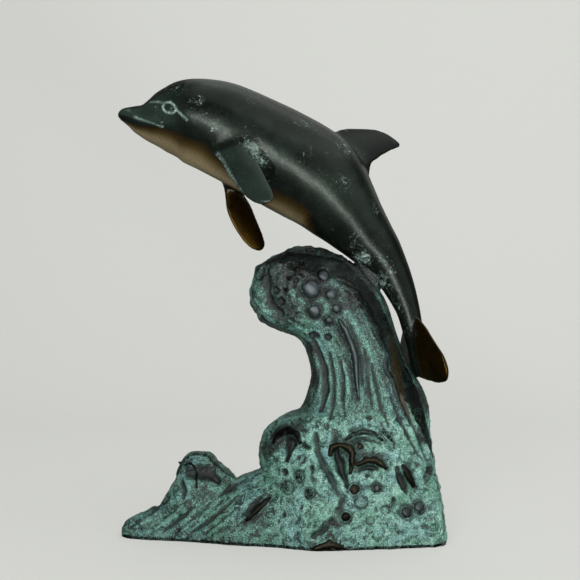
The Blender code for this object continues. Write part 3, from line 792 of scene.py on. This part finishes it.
def mound_skin():
    """Half ovals standing on the base plane, one at each place along the base."""
    x, half, high = smooth_through(MOUND_ROWS, 6).T
    centre = flat(x, 0 * x) - np.array([0, 0, TRIM_DEPTH])
    up = np.stack([0 * high, 0 * high, high * MM + TRIM_DEPTH], axis=1)
    shape = oval(2.2)
    return tube(centre, depthwise(half), up, np.stack([shape[:, 0], np.maximum(shape[:, 1], -0.02)], axis=1))


def wavelet_skin():
    """Level ovals that narrow and lean as they rise."""
    left, right, high, half = smooth_through(WAVELET_ROWS, 8).T
    along = flat((right - left) / 2, 0 * left)
    return tube(flat((left + right) / 2, high), along, depthwise(half), oval(2.2))


def braze_skin():
    """Ellipsoid in the corner under the tail stock."""
    centre, tail, back, near, high, _ = (part[0] for part in station(SEAT_PLACE))
    upright = back * math.cos(ROLL) + near * math.sin(ROLL)
    long, broad, tall = BRAZE_RADII
    return sphere(centre - upright * high, np.array([tail * long, near * broad, back * tall]) * MM)


wave = fused("wave", [stem_skin(), mound_skin(), wavelet_skin(), braze_skin()], WAVE_GRID, 3)

# Relief of the near face, drawn in millimetres: the places along a path and its half width at
# each, then its rise, and how rubbed, how brown and how dark it is. The far face has the same
# relief, shifted.
FAR_SHIFT = 3.0
STROKES = [
    ([(-7.5, 118.5, 2), (-10.4, 113, 2.6), (-10.9, 107.5, 3), (-9.6, 101.5, 3.2), (-6, 96.3, 3),
      (-0.2, 92.9, 2.2)], 1.1, 0, 0, 0),
    ([(-5.6, 117.5, 1.2), (-6.6, 109.6, 2.2), (-4.8, 101.6, 2.4), (-0.6, 97.4, 1.6)], -1.5, 0, 0, 0.8),
    ([(4.2, 113, 0.8), (3.3, 108.5, 1.6), (3.8, 103, 1.8), (7, 98.8, 1)], 0.7, 0, 0.3, 0),
    ([(2.4, 117, 1), (6, 115.2, 1.6), (9.2, 112.6, 1)], 0.9, 0.3, 0.5, 0),
    ([(23.3, 113, 0.5), (27, 111.8, 0.9), (30.5, 109.6, 0.4)], 0.7, 0, 0.6, 0),
    ([(25, 110.4, 0.5), (28.4, 108.9, 1), (31.8, 106.6, 0.4)], 0.7, 0, 0.6, 0),
    ([(26.4, 107.3, 0.5), (29.6, 105.6, 1), (32.8, 103.2, 0.4)], 0.7, 0, 0.5, 0),
    ([(28.2, 103.6, 0.4), (30.8, 102.2, 0.9), (33.2, 99.8, 0.4)], 0.6, 0, 0.5, 0),
    ([(24.2, 94.6, 0.9), (26.4, 91, 2), (28.9, 86, 2.5), (31, 80, 2.2), (31.6, 73.4, 1.7),
      (32, 66.4, 1.2), (32.6, 60.4, 0.7)], 1.8, 1.4, 0, 0),
    ([(28.6, 91, 0.8), (31.8, 84, 1.2), (34, 76, 1.1), (34.2, 67, 0.6)], -0.9, 0, 0, 0.7),
    ([(31.5, 106, 1.6), (36.6, 96.8, 2.4), (40.4, 88.5, 2.6), (44.3, 80, 2.3), (44, 73.4, 1.7),
      (46.6, 69.4, 2), (49.6, 59, 1.4), (54, 50.4, 0.8)], 1.3, 0.95, 0, 0),
    ([(11.6, 88.5, 1.2), (15.4, 80.4, 2.2), (17.9, 72, 2.6), (18.2, 64.6, 2.2), (16.4, 56.6, 1.4)],
      -1.7, 0, 0, 0.85),
    ([(20.1, 80.7, 0.6), (21.9, 70, 1.2), (21.6, 60, 1.1), (20, 53, 0.6)], -1, 0, 0, 0.8),
    ([(24.6, 79, 0.5), (25.8, 71, 1), (25.6, 62, 0.9), (26.6, 54, 0.5)], -0.9, 0, 0, 0.8),
    ([(35, 82, 0.5), (36.2, 74, 1.1), (36.4, 66, 1), (38.4, 57, 0.5)], -0.9, 0, 0, 0.7),
    ([(38.2, 76, 0.5), (39.4, 68, 1), (41.8, 58, 0.9), (45, 50, 0.5)], -0.9, 0, 0, 0.7),
    ([(46, 62, 0.5), (49.6, 53, 1), (54.6, 43, 0.9), (59, 36, 0.5)], -0.9, 0, 0, 0.8),
    ([(50.2, 62, 0.6), (54.4, 52, 1.1), (59, 42, 1), (62, 34, 0.5)], -0.9, 0, 0, 0.8),
    ([(14.3, 47, 1.2), (14.8, 39.6, 1.8), (17.4, 33.9, 1.9), (20.5, 29.2, 1.8), (22.6, 24, 1.8),
      (25.4, 21.4, 1.9), (24.2, 17.4, 2), (21.1, 12.5, 2), (17, 8.6, 1.6), (12.7, 5.6, 1)],
      -1.4, 0, 0, 0.3),
    ([(11.6, 44.5, 1.6), (11.8, 38.6, 2.6), (14, 33, 3), (17.6, 27.6, 2.4)], 1, 0, 0, 0),
    ([(18.4, 46, 1.2), (18.4, 40.2, 1.9), (20, 35.4, 1.8), (22.4, 30.4, 1.2)], 0.9, 0, 0, 0),
    ([(-3, 42.6, 1.4), (-1.4, 45.6, 2.2), (2.6, 47.8, 2.4), (6.6, 46.2, 1.9), (7.8, 43, 1.2)],
      1.7, 0.5, 0.45, 0),
    ([(3.6, 43, 2.7), (2.3, 39.6, 2.2), (1.6, 35.4, 0.9)], -4.6, 0, 0, 1),
    ([(9.2, 42.4, 1.2), (11.2, 41.2, 1.2)], -1.6, 0, 0, 0.8),
    ([(20.2, 38.6, 1.2), (21, 41.6, 1.7), (24.4, 42.6, 1.6), (27.8, 41.6, 1.9), (29.3, 39, 1.8),
      (29.2, 35.4, 1.5), (28.4, 31.4, 0.9)], 2.2, 0.3, 0.95, 0),
    ([(22.6, 39.6, 1.5), (24, 35.6, 2.4), (24.8, 32.4, 2.2), (26.4, 28.4, 1.2), (27, 25.6, 0.7)],
      -4.2, 0, 0, 1),
    ([(29.8, 34.4, 1), (32.4, 34.8, 1.4), (35.4, 36.6, 2), (38.6, 36.4, 1.9), (41.4, 34.6, 1.7),
      (43.4, 33, 1)], 2.1, 0.3, 0.9, 0),
    ([(32.4, 32.4, 0.8), (36, 33.6, 1.3), (39.4, 32.8, 0.9)], -1.6, 0, 0, 0.9),
    ([(26.6, 44.6, 0.9), (29.8, 46.9, 1.7), (34.2, 48, 2.1), (38.8, 46.7, 1.9), (41.9, 44.4, 1)],
      1.6, 0.85, 0, 0.4),
    ([(40.6, 48.4, 0.7), (43.8, 46.8, 1.5), (46.2, 43.8, 0.8)], 1.2, 0.8, 0, 0.3),
    ([(29.8, 43.9, 0.8), (33.6, 45.2, 1.1), (38.4, 44, 0.8)], -1.2, 0, 0, 0.7),
    ([(50.4, 33.4, 1.4), (52.6, 30.2, 2.2), (55, 25.4, 1.6)], 1.6, 0.6, 0.7, 0),
    ([(48.2, 33, 1), (49.9, 27.4, 1.9), (52.4, 23, 1.3)], -2.2, 0, 0, 1),
    ([(51, 36.5, 1), (58, 36, 1.8), (64, 31, 1.2)], 1, 0.5, 0, 0),
    ([(-14.7, 10.6, 0.9), (-10.5, 14.7, 1.7), (-7.2, 17.8, 1.7), (-4.9, 19.4, 0.8)], 1.8, 0.3, 0.75, 0),
    ([(-16.5, 12.5, 0.9), (-12.6, 16.4, 1.6), (-9.4, 19.6, 1)], -1.5, 0, 0, 0.9),
    ([(13.6, 1.2, 1.2), (19.8, 2.8, 2), (24.6, 1.6, 1.2)], 1.4, 0.5, 0.9, 0),
    ([(-45.2, 27.6, 0.8), (-43.2, 31.6, 1.2), (-40.6, 34.6, 1.4), (-37, 35.8, 1.5), (-33, 35.2, 1.4),
      (-29.4, 32, 1.2), (-25.4, 28.4, 1), (-21.6, 25.6, 0.7)], 0.7, 0.8, 0.2, 0),
    ([(-40.6, 28.4, 2.4), (-36.4, 29.6, 3.4), (-31.6, 28.6, 3.4), (-27.6, 25.4, 2)], -2.3, 0, 0, 0.85),
    ([(-43.9, 24.8, 1.2), (-42.4, 21, 1.6), (-42.6, 17.6, 0.8)], -1.3, 0, 0, 0.8),
    ([(-41.8, 31.4, 0.4), (-39.4, 32.2, 0.7), (-37.6, 30.4, 0.7), (-37, 26.4, 0.6), (-36.6, 22.4, 0.4)],
      1.4, 0, 0.75, 0),
    ([(-64, 4.2, 0.6), (-58, 8.2, 1.2), (-52.6, 12.6, 0.8)], 0.9, 0, 0, 0),
    ([(-55, 4, 0.6), (-48, 9.4, 1.4), (-42.4, 14.6, 1)], 1, 0, 0, 0),
    ([(-51, 4, 0.6), (-44.6, 8.6, 1.2), (-37.6, 14.6, 0.8)], -0.9, 0, 0, 0.7),
    ([(-44, 3.6, 0.6), (-35.4, 9.8, 1.4), (-27, 17.4, 1)], 1, 0, 0, 0),
    ([(-38.6, 4, 0.6), (-30, 10, 1.3), (-21.6, 17.4, 0.8)], -1, 0, 0, 0.8),
    ([(-31.6, 3.6, 0.6), (-23.4, 9.6, 1.4), (-15, 17.6, 1)], 1, 0, 0, 0),
    ([(-26.8, 19, 0.6), (-20.4, 23.4, 1.2), (-15.2, 26.4, 0.7)], -0.9, 0, 0, 0.7),
]
# Bubbles: place, radius, and how rubbed and how brown; a radius below zero is a pit.
BUBBLES = [
    (12, 107.9, 4.4, 1, 0), (20.6, 105.8, 2.7, 0.9, 0), (13.4, 98.6, 3, 1, 0), (23.2, 99.5, 2.4, 0.9, 0),
    (19.8, 94.6, 2.3, 0.9, 0), (13.9, 88.1, -2, 0, 0), (19.4, 87.2, -1.7, 0, 0),
    (-0.5, 102.4, -1.9, 0, 0), (-3, 107.3, -1.8, 0, 0), (3.3, 117.6, -1.7, 0, 0), (8, 118.9, -1.3, 0, 0),
    (5.9, 111.6, -1.4, 0, 0), (30.4, 100.6, 1.4, 0.2, 0), (17.4, 113.4, 2.6, 0.9, 0),
    (7.2, 29.2, 2.1, 0.5, 0), (1, 30.6, -1.8, 0, 0), (2.6, 24.4, 2.4, 0.4, 0.1), (-0.2, 24.8, -1.1, 0, 0),
    (11.7, 22.9, 2, 0.6, 0), (30.2, 24.7, 2.4, 0.3, 0.9), (39.6, 25, 1.9, 0.9, 0),
    (32.8, 19.2, 2.3, 0.3, 0), (51.8, 14.7, 2.7, 0.8, 0), (57.2, 16.4, 2.4, 0.9, 0),
    (26.3, 13.5, 2.4, 0.3, 0.6), (35.4, 30, -1.2, 0, 0), (32.5, 41.9, 1.7, 0.2, 0.9), (7, 37, -1.1, 0, 0),
    (12.7, 33.3, -1.3, 0, 0), (0.7, 13.5, -1.3, 0, 0), (42.9, 15.8, 1.6, 0.3, 0),
    (61.6, 28.3, 1.6, 0.3, 0), (4, 117.8, 1.2, 0.2, 0.8), (6.6, 116, 1.4, 0.2, 0.9),
    (3, 112.5, 1.3, 0.2, 0.8), (5.6, 109, 1.2, 0.2, 0.7), (9, 117.6, 1, 0.2, 0.7),
    (1.8, 107.4, 1.3, 0.2, 0.8), (46.5, 20, -1.1, 0, 0), (36.8, 53.6, -1.3, 0, 0),
    (36.5, 11.9, 1.4, 0.3, 0), (8, 17, -1, 0, 0),
]
# Metal rubbed smooth in a band over the crest and down the convex side: place and half width.
SMOOTH_BAND = [
    (-6, 119.4, 1.6), (3, 121.6, 3.6), (11.5, 119, 5.2), (20.5, 117.4, 6.2), (27.5, 114.6, 5.2),
    (33.8, 108.2, 4.2), (39.6, 100, 4.2), (44, 91.5, 4.2), (47.6, 83, 4), (50.4, 75, 4.4),
    (53.6, 66, 4.6), (58, 56, 3.8), (62, 46, 2.6), (65, 36, 1.8),
]
OLIVE_STRIPE = [
    (46.2, 89, 0.9), (47.8, 82, 1.6), (48.8, 75, 2), (49.8, 67, 1.9), (51.6, 59, 1.4), (54.4, 52, 0.7),
]
# Where the crust is thin or dark: place, reach and how much of it is gone.
THIN_CRUST = [
    (9.6, 119.3, 9.5, 0.85), (0.5, 112.5, 7.5, 0.75), (-1.5, 103.5, 7, 0.6), (2, 97, 6, 0.5),
    (24.4, 119.3, 8, 0.9), (35, 109.6, 7, 0.85), (39.2, 99, 5.5, 0.75), (28.6, 103.3, 5.5, 0.55),
    (7.5, 126.5, 7, 0.9), (16.8, 109.6, 6, 0.5), (-10, 117, 4, 0.6), (-12.5, 98, 3.5, 0.55),
    (16, 126, 12, 0.9), (2, 122, 10, 0.85), (-6, 117, 9, 0.65), (30, 119.5, 10, 0.8),
    (-0.5, 45.5, 6.5, 0.7), (-6.5, 40, 5, 0.6), (6.5, 50, 4.5, 0.5), (57.9, 61.3, 5, 0.8),
    (60.5, 46, 5, 0.7), (62.5, 30, 5, 0.45), (26.4, 40.3, 6, 0.45), (38, 36, 5, 0.35),
    (-31.5, 28.5, 5.5, 0.6), (-43, 30, 3.5, 0.3), (-35, 21, 5, 0.3), (-52, 14, 5, 0.3), (-22, 22, 4, 0.4),
    (51.5, 29, 4.5, 0.55), (14.5, 70, 5, 0.45), (12.5, 82, 4, 0.55), (21, 9, 5, 0.4), (-10, 12, 6, 0.3),
]


def flow_places(points):
    """Each point's row number up the stem and its place across it, -1 on the concave edge and 1 on
    the convex edge: the row whose line passes nearest, among those that reach the point."""
    rows = smooth_through(STEM_ROWS, 10)
    inner_edge, outer_edge = rows[:, :2] * MM, rows[:, 2:4] * MM
    centre, half = (inner_edge + outer_edge) / 2, (outer_edge - inner_edge) / 2
    size = np.linalg.norm(half, axis=1)
    unit = half / size[:, None]
    number = np.zeros(len(points))
    across = np.zeros(len(points))
    for first in range(0, len(points), BATCH):
        chunk = slice(first, first + BATCH)
        offset = points[chunk][:, None, [0, 2]] - centre[None]
        over = (offset * unit).sum(2) / size
        miss = np.abs(offset[..., 0] * unit[:, 1] - offset[..., 1] * unit[:, 0])
        best = np.argmin(miss + 0.05 * np.clip(np.abs(over) - 1.1, 0, None), axis=1)
        number[chunk] = best / 10
        across[chunk] = over[np.arange(len(best)), best]
    return number, across


points, normals = points_and_normals(wave.data)
faces = [tuple(face.vertices) for face in wave.data.polygons]
edges = mesh_edges(wave.data)
skin = BVHTree.FromPolygons([Vector(point) for point in points], faces)


def seated(x, z, side):
    """Point of the wave's skin behind a place in the drawing, seen from the near or far side."""
    hit = skin.ray_cast(Vector((x * MM, side * 0.06, z * MM)), Vector((0, -side, 0)))[0]
    if hit is None:
        hit = skin.find_nearest(Vector((x * MM, 0, z * MM)))[0]
    return np.array(hit)


row, across = flow_places(points)
stem_part = ease(3.2, 5.2, row) * ease(10.6, 9.4, row)
foot = ease(5.0, 3.4, row)
move, rubbed, browned, deep, band, olive, thin = np.zeros((7, len(points)))
wander = 0.22 * cloud(points, 5 * MM, 10) + 0.12 * cloud(points, 1.8 * MM, 11)
for side in (-1, 1):
    shift = FAR_SHIFT * (side > 0)
    half_of = np.where(points[:, 1] * side > -2 * MM)[0]
    local = points[half_of]
    for path, rise, rub, tan, dark in STROKES:
        seats = np.array([seated(x - shift, z, side) for x, z, width in path])
        widths = [width * 1.15 * MM for x, z, width in path]
        gap = within(local, seats, widths) / (1 + 1.2 * wander[half_of])
        press = np.clip(1 - gap ** 2, 0, 1) ** (1.15 if rise > 0 else 1.3)
        move[half_of] += rise * MM * press * (1 + 0.5 * wander[half_of])
        top = ease(0.10, 0.75, press)
        rubbed[half_of] = np.maximum(rubbed[half_of], rub * top)
        browned[half_of] = np.maximum(browned[half_of], tan * top)
        deep[half_of] = np.maximum(deep[half_of], dark * top)
    for x, z, radius, rub, tan in BUBBLES:
        gap = np.linalg.norm(local - seated(x - shift, z, side), axis=1) / (abs(radius) * MM)
        gap = gap * (1 + 0.7 * wander[half_of])
        dome = np.clip(1 - gap ** 2, 0, 1) ** 0.6
        moat = np.clip(1 - ((gap - 1.15) / 0.28) ** 2, 0, 1)
        if radius > 0:
            move[half_of] += (0.42 * radius * dome - 0.5 * moat) * MM
            # A bubble's top is rubbed past 1, which lightens its slate as a painted reflection.
            rubbed[half_of] = np.maximum(rubbed[half_of], 1.5 * rub * ease(1.05, 0.8, gap))
            browned[half_of] = np.maximum(browned[half_of], tan * ease(1.1, 0.6, gap))
            deep[half_of] = np.maximum(deep[half_of], 0.6 * moat + (1 - rub) * 0.35 * ease(1.0, 0.8, gap))
        else:
            move[half_of] += (0.9 * radius * dome + 0.35 * moat) * MM
            deep[half_of] = np.maximum(deep[half_of], ease(1.0, 0.75, gap))
    for x, z, reach, amount in THIN_CRUST:
        gap = np.linalg.norm(local - seated(x - shift, z, side), axis=1) / (reach * MM)
        thin[half_of] = np.maximum(thin[half_of], amount * ease(1.25, 0.45, gap))
    for table, mask in ((SMOOTH_BAND, band), (OLIVE_STRIPE, olive)):
        seats = np.array([seated(x - shift, z, side) for x, z, reach in table])
        radii = [reach * MM for x, z, reach in table]
        covered = ease(1.15, 0.85, within(local, seats, radii) + wander[half_of])
        mask[half_of] = np.maximum(mask[half_of], covered)

# Running water: furrows follow the stem, slanting streaks climb the narrow end of the base,
# and the crest and the rest of the base are lumpy from the mould.
SLANT = math.radians(37)
STEM_HALF_WIDTH = 22
ROW_SPACING = 8
stream = np.stack([across * STEM_HALF_WIDTH + 40 * (points[:, 1] > 0), row * 1.1, 0 * row], axis=1)
furrow = 0.5 * cloud(stream, 2.4, 4) + cloud(stream, 1.2, 5) + 0.5 * cloud(stream, 0.6, 6)
along = points[:, 0] * math.cos(SLANT) + points[:, 2] * math.sin(SLANT)
athwart = points[:, 2] * math.cos(SLANT) - points[:, 0] * math.sin(SLANT)
climb = np.stack([along / (8 * MM), athwart / (1.7 * MM), points[:, 1] / (2.6 * MM)], axis=1)
streaks = cloud(climb, 1.0, 12) + 0.6 * cloud(climb, 0.5, 13)
lumps = cloud(points, 3.8 * MM, 7) + 0.7 * cloud(points, 1.9 * MM, 8)
smoothness = np.maximum(band, np.maximum(rubbed, browned))
narrow_end = foot * ease(6, -10, points[:, 0] / MM)
wide_end = foot * (1 - narrow_end)
crest = ease(9.0, 10.4, row)
rough = 0.42 * furrow * stem_part + 0.42 * streaks * narrow_end + lumps * (0.62 * wide_end + 0.66 * crest)
rough += 0.16 * cloud(points, 1.2 * MM, 9) * (1 - 0.8 * smoothness)
move += MM * rough * (1 - 0.75 * smoothness)

# Wear, dirt and painted shade go with the height above the skin's local mean, some three
# millimetres round.
relief = (move - spread(move, edges, 40)) / MM
# Along the bottom edge the metal shows bare and dark: worn metal and painted shade of the underside.
bottom_wear_and_shade = ease(1.9, 0.9, points[:, 2] / MM + 0.4 * wander)
worn_shade_and_sheen = np.maximum.reduce([rubbed * ease(-0.1, 0.25, relief), 0.95 * band, 0.9 * bottom_wear_and_shade])
browned = np.maximum(browned * ease(-0.1, 0.3, relief), 0.5 * thin * crest * ease(0.45, 0.9, relief))
# Painted shade: places lower than the local mean are darkened.
deep = np.maximum(deep, 0.9 * ease(-0.15, -0.60, relief))
cover_light_and_shade = 1 - 0.9 * thin - 0.25 * ease(0.05, -0.35, relief) + 0.10 * ease(0.1, 0.5, relief)
# The crust is painted darker on the left of the base and lighter on its right: painted shade and painted
# light from the right.
cover_light_and_shade -= 0.20 * foot * ease(14, -16, points[:, 0] / MM) - 0.10 * foot * ease(18, 40, points[:, 0] / MM)
# Towards the stem's two edges the crust is darker, painted shade where its sides turn away; over the stem and
# the crest it is thinner.
cover_light_and_shade -= 0.35 * ease(0.80, 0.98, np.abs(across)) * stem_part + 0.22 * stem_part + 0.18 * crest
points = points + normals * move[:, None]
height = points[:, 2]
points[:, 2] = np.where(height < 0.02 * MM, 0.0, height)
low, high = (np.array(corner) for corner in cad_box)
set_points(wave.data, np.clip(points, low, high))
wave_masks = {"worn_shade_and_sheen": worn_shade_and_sheen, "browned": browned, "deep": deep, "olive": olive, "cover_light_and_shade": cover_light_and_shade,
              "stem": stem_part,
              "stream_across": across * STEM_HALF_WIDTH * MM + 0.2 * (points[:, 1] > 0),
              "stream_along": row * ROW_SPACING * MM}
paint(wave.data, wave_masks)

# Verdigris over cast brass: a chalky blue-green crust of half-millimetre grains, waxed, with
# painted glints, black in its pits and painted shade in its hollows, and dark smooth metal where
# it has been rubbed through.
crusted, tree, shader = material("waxed_verdigris_crust_on_cast_brass")
place = node(tree, "TexCoord").outputs["Object"]
masks = painted(tree, wave_masks)
patches = noise(tree, place, 9 * MM, 5, 0.6)
grains = noise(tree, place, 0.6 * MM, 3, 0.7)
clots = noise(tree, place, 3.4 * MM, 8, 0.68, 0.9)
grit = noise(tree, place, 0.55 * MM, 2, 0.6)
stream_place = node(tree, "CombineXYZ", {0: masks["stream_across"], 1: masks["stream_along"]})
runs = node(tree, "Mapping", {"Vector": stream_place, "Scale": (1 / (1.7 * MM), 1 / (15 * MM), 1.0)})
streaks = noise(tree, runs, 1.0, 6, 0.7)
blotch = mix(tree, maths(tree, "MULTIPLY", masks["stem"], 0.6), clots, streaks)
mottle = mix(tree, 0.52, grains, blotch)
off_vein = maths(tree, "ABSOLUTE", maths(tree, "SUBTRACT", clots, 0.5))
vein = remap(tree, off_vein, 0.030, 0.006)
thick = maths(tree, "ADD", mottle, maths(tree, "MULTIPLY_ADD", masks["cover_light_and_shade"], 0.17, -0.17))
left_on = maths(tree, "MULTIPLY_ADD", vein, 0.05, thick)
crust = ramp(tree, left_on, (0.37, "#070C0A"), (0.43, "#1E322C"), (0.50, "#517A70"), (0.57, "#84ABA0"),
             (0.68, "#D3E3DD"))
hue = ramp(tree, patches, (0.36, "#B9D6C6"), (0.5, "#E6F2EC"), (0.64, "#D6E6EE"))
toned = mix(tree, 1.0, crust, hue, "MULTIPLY")
# Painted glints: bright specks added to the crust's colour.
painted_glints = mix(tree, remap(tree, grit, 0.58, 0.70, 0.0, 0.5), toned, "#7F9A92", "ADD")
gritty = mix(tree, remap(tree, grit, 0.40, 0.30, 0.0, 0.6), painted_glints, "#14211D")
# Black in the pits and painted shade in the hollows.
shadowed = mix(tree, maths(tree, "MULTIPLY", masks["deep"], 0.92), gritty, "#080D0B")

# Metal rubbed bare is slate, lightened on the bubbles' tops as a painted reflection, and brown on
# the lips of the base, with a painted highlight where they are highest.
metal_tone = ramp(tree, patches, (0.36, "#0A0F0D"), (0.5, "#171E1B"), (0.64, "#2E3836"))
# Painted reflection: bubble tops, rubbed past 1, are lightened towards mid grey.
slate_with_reflection = mix(tree, remap(tree, masks["worn_shade_and_sheen"], 1.05, 1.45, 0.0, 0.8), metal_tone, "#454C4E")
worn_edge = mix(tree, 0.45, maths(tree, "MULTIPLY_ADD", vein, -0.45, masks["worn_shade_and_sheen"]), mottle)
worn_mask = remap(tree, worn_edge, 0.46, 0.60)
bared = mix(tree, worn_mask, shadowed, slate_with_reflection)
brown_edge = mix(tree, 0.25, masks["browned"], mottle)
brown_mask = remap(tree, brown_edge, 0.28, 0.46)
# Dark rubbed brass on the lips; the lightest tan, where a lip is highest, is a painted highlight.
brass_and_highlight = ramp(tree, brown_edge, (0.40, "#070705"), (0.70, "#12100A"), (0.90, "#2B2618"), (1.0, "#8E7F5A"))
with_brown = mix(tree, brown_mask, bared, brass_and_highlight)
bare_all = maths(tree, "MAXIMUM", worn_mask, brown_mask)
height = maths(tree, "MULTIPLY", mottle, remap(tree, bare_all, 0.0, 1.0, 1.0, 0.45))
feed(shader, {
    "Base Color": mix(tree, maths(tree, "MULTIPLY", masks["olive"], 0.8), with_brown, "#33290F"),
    "Metallic": remap(tree, bare_all, 0.0, 1.0, 0.0, 0.8),
    "Roughness": remap(tree, bare_all, 0.0, 1.0, 0.42, 0.30),
    "Normal": node(tree, "Bump", {"Strength": 1.0, "Distance": 0.8 * MM, "Height": height}),
})
wave.data.materials.append(crusted)
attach(wave, "root")
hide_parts(CASTING)
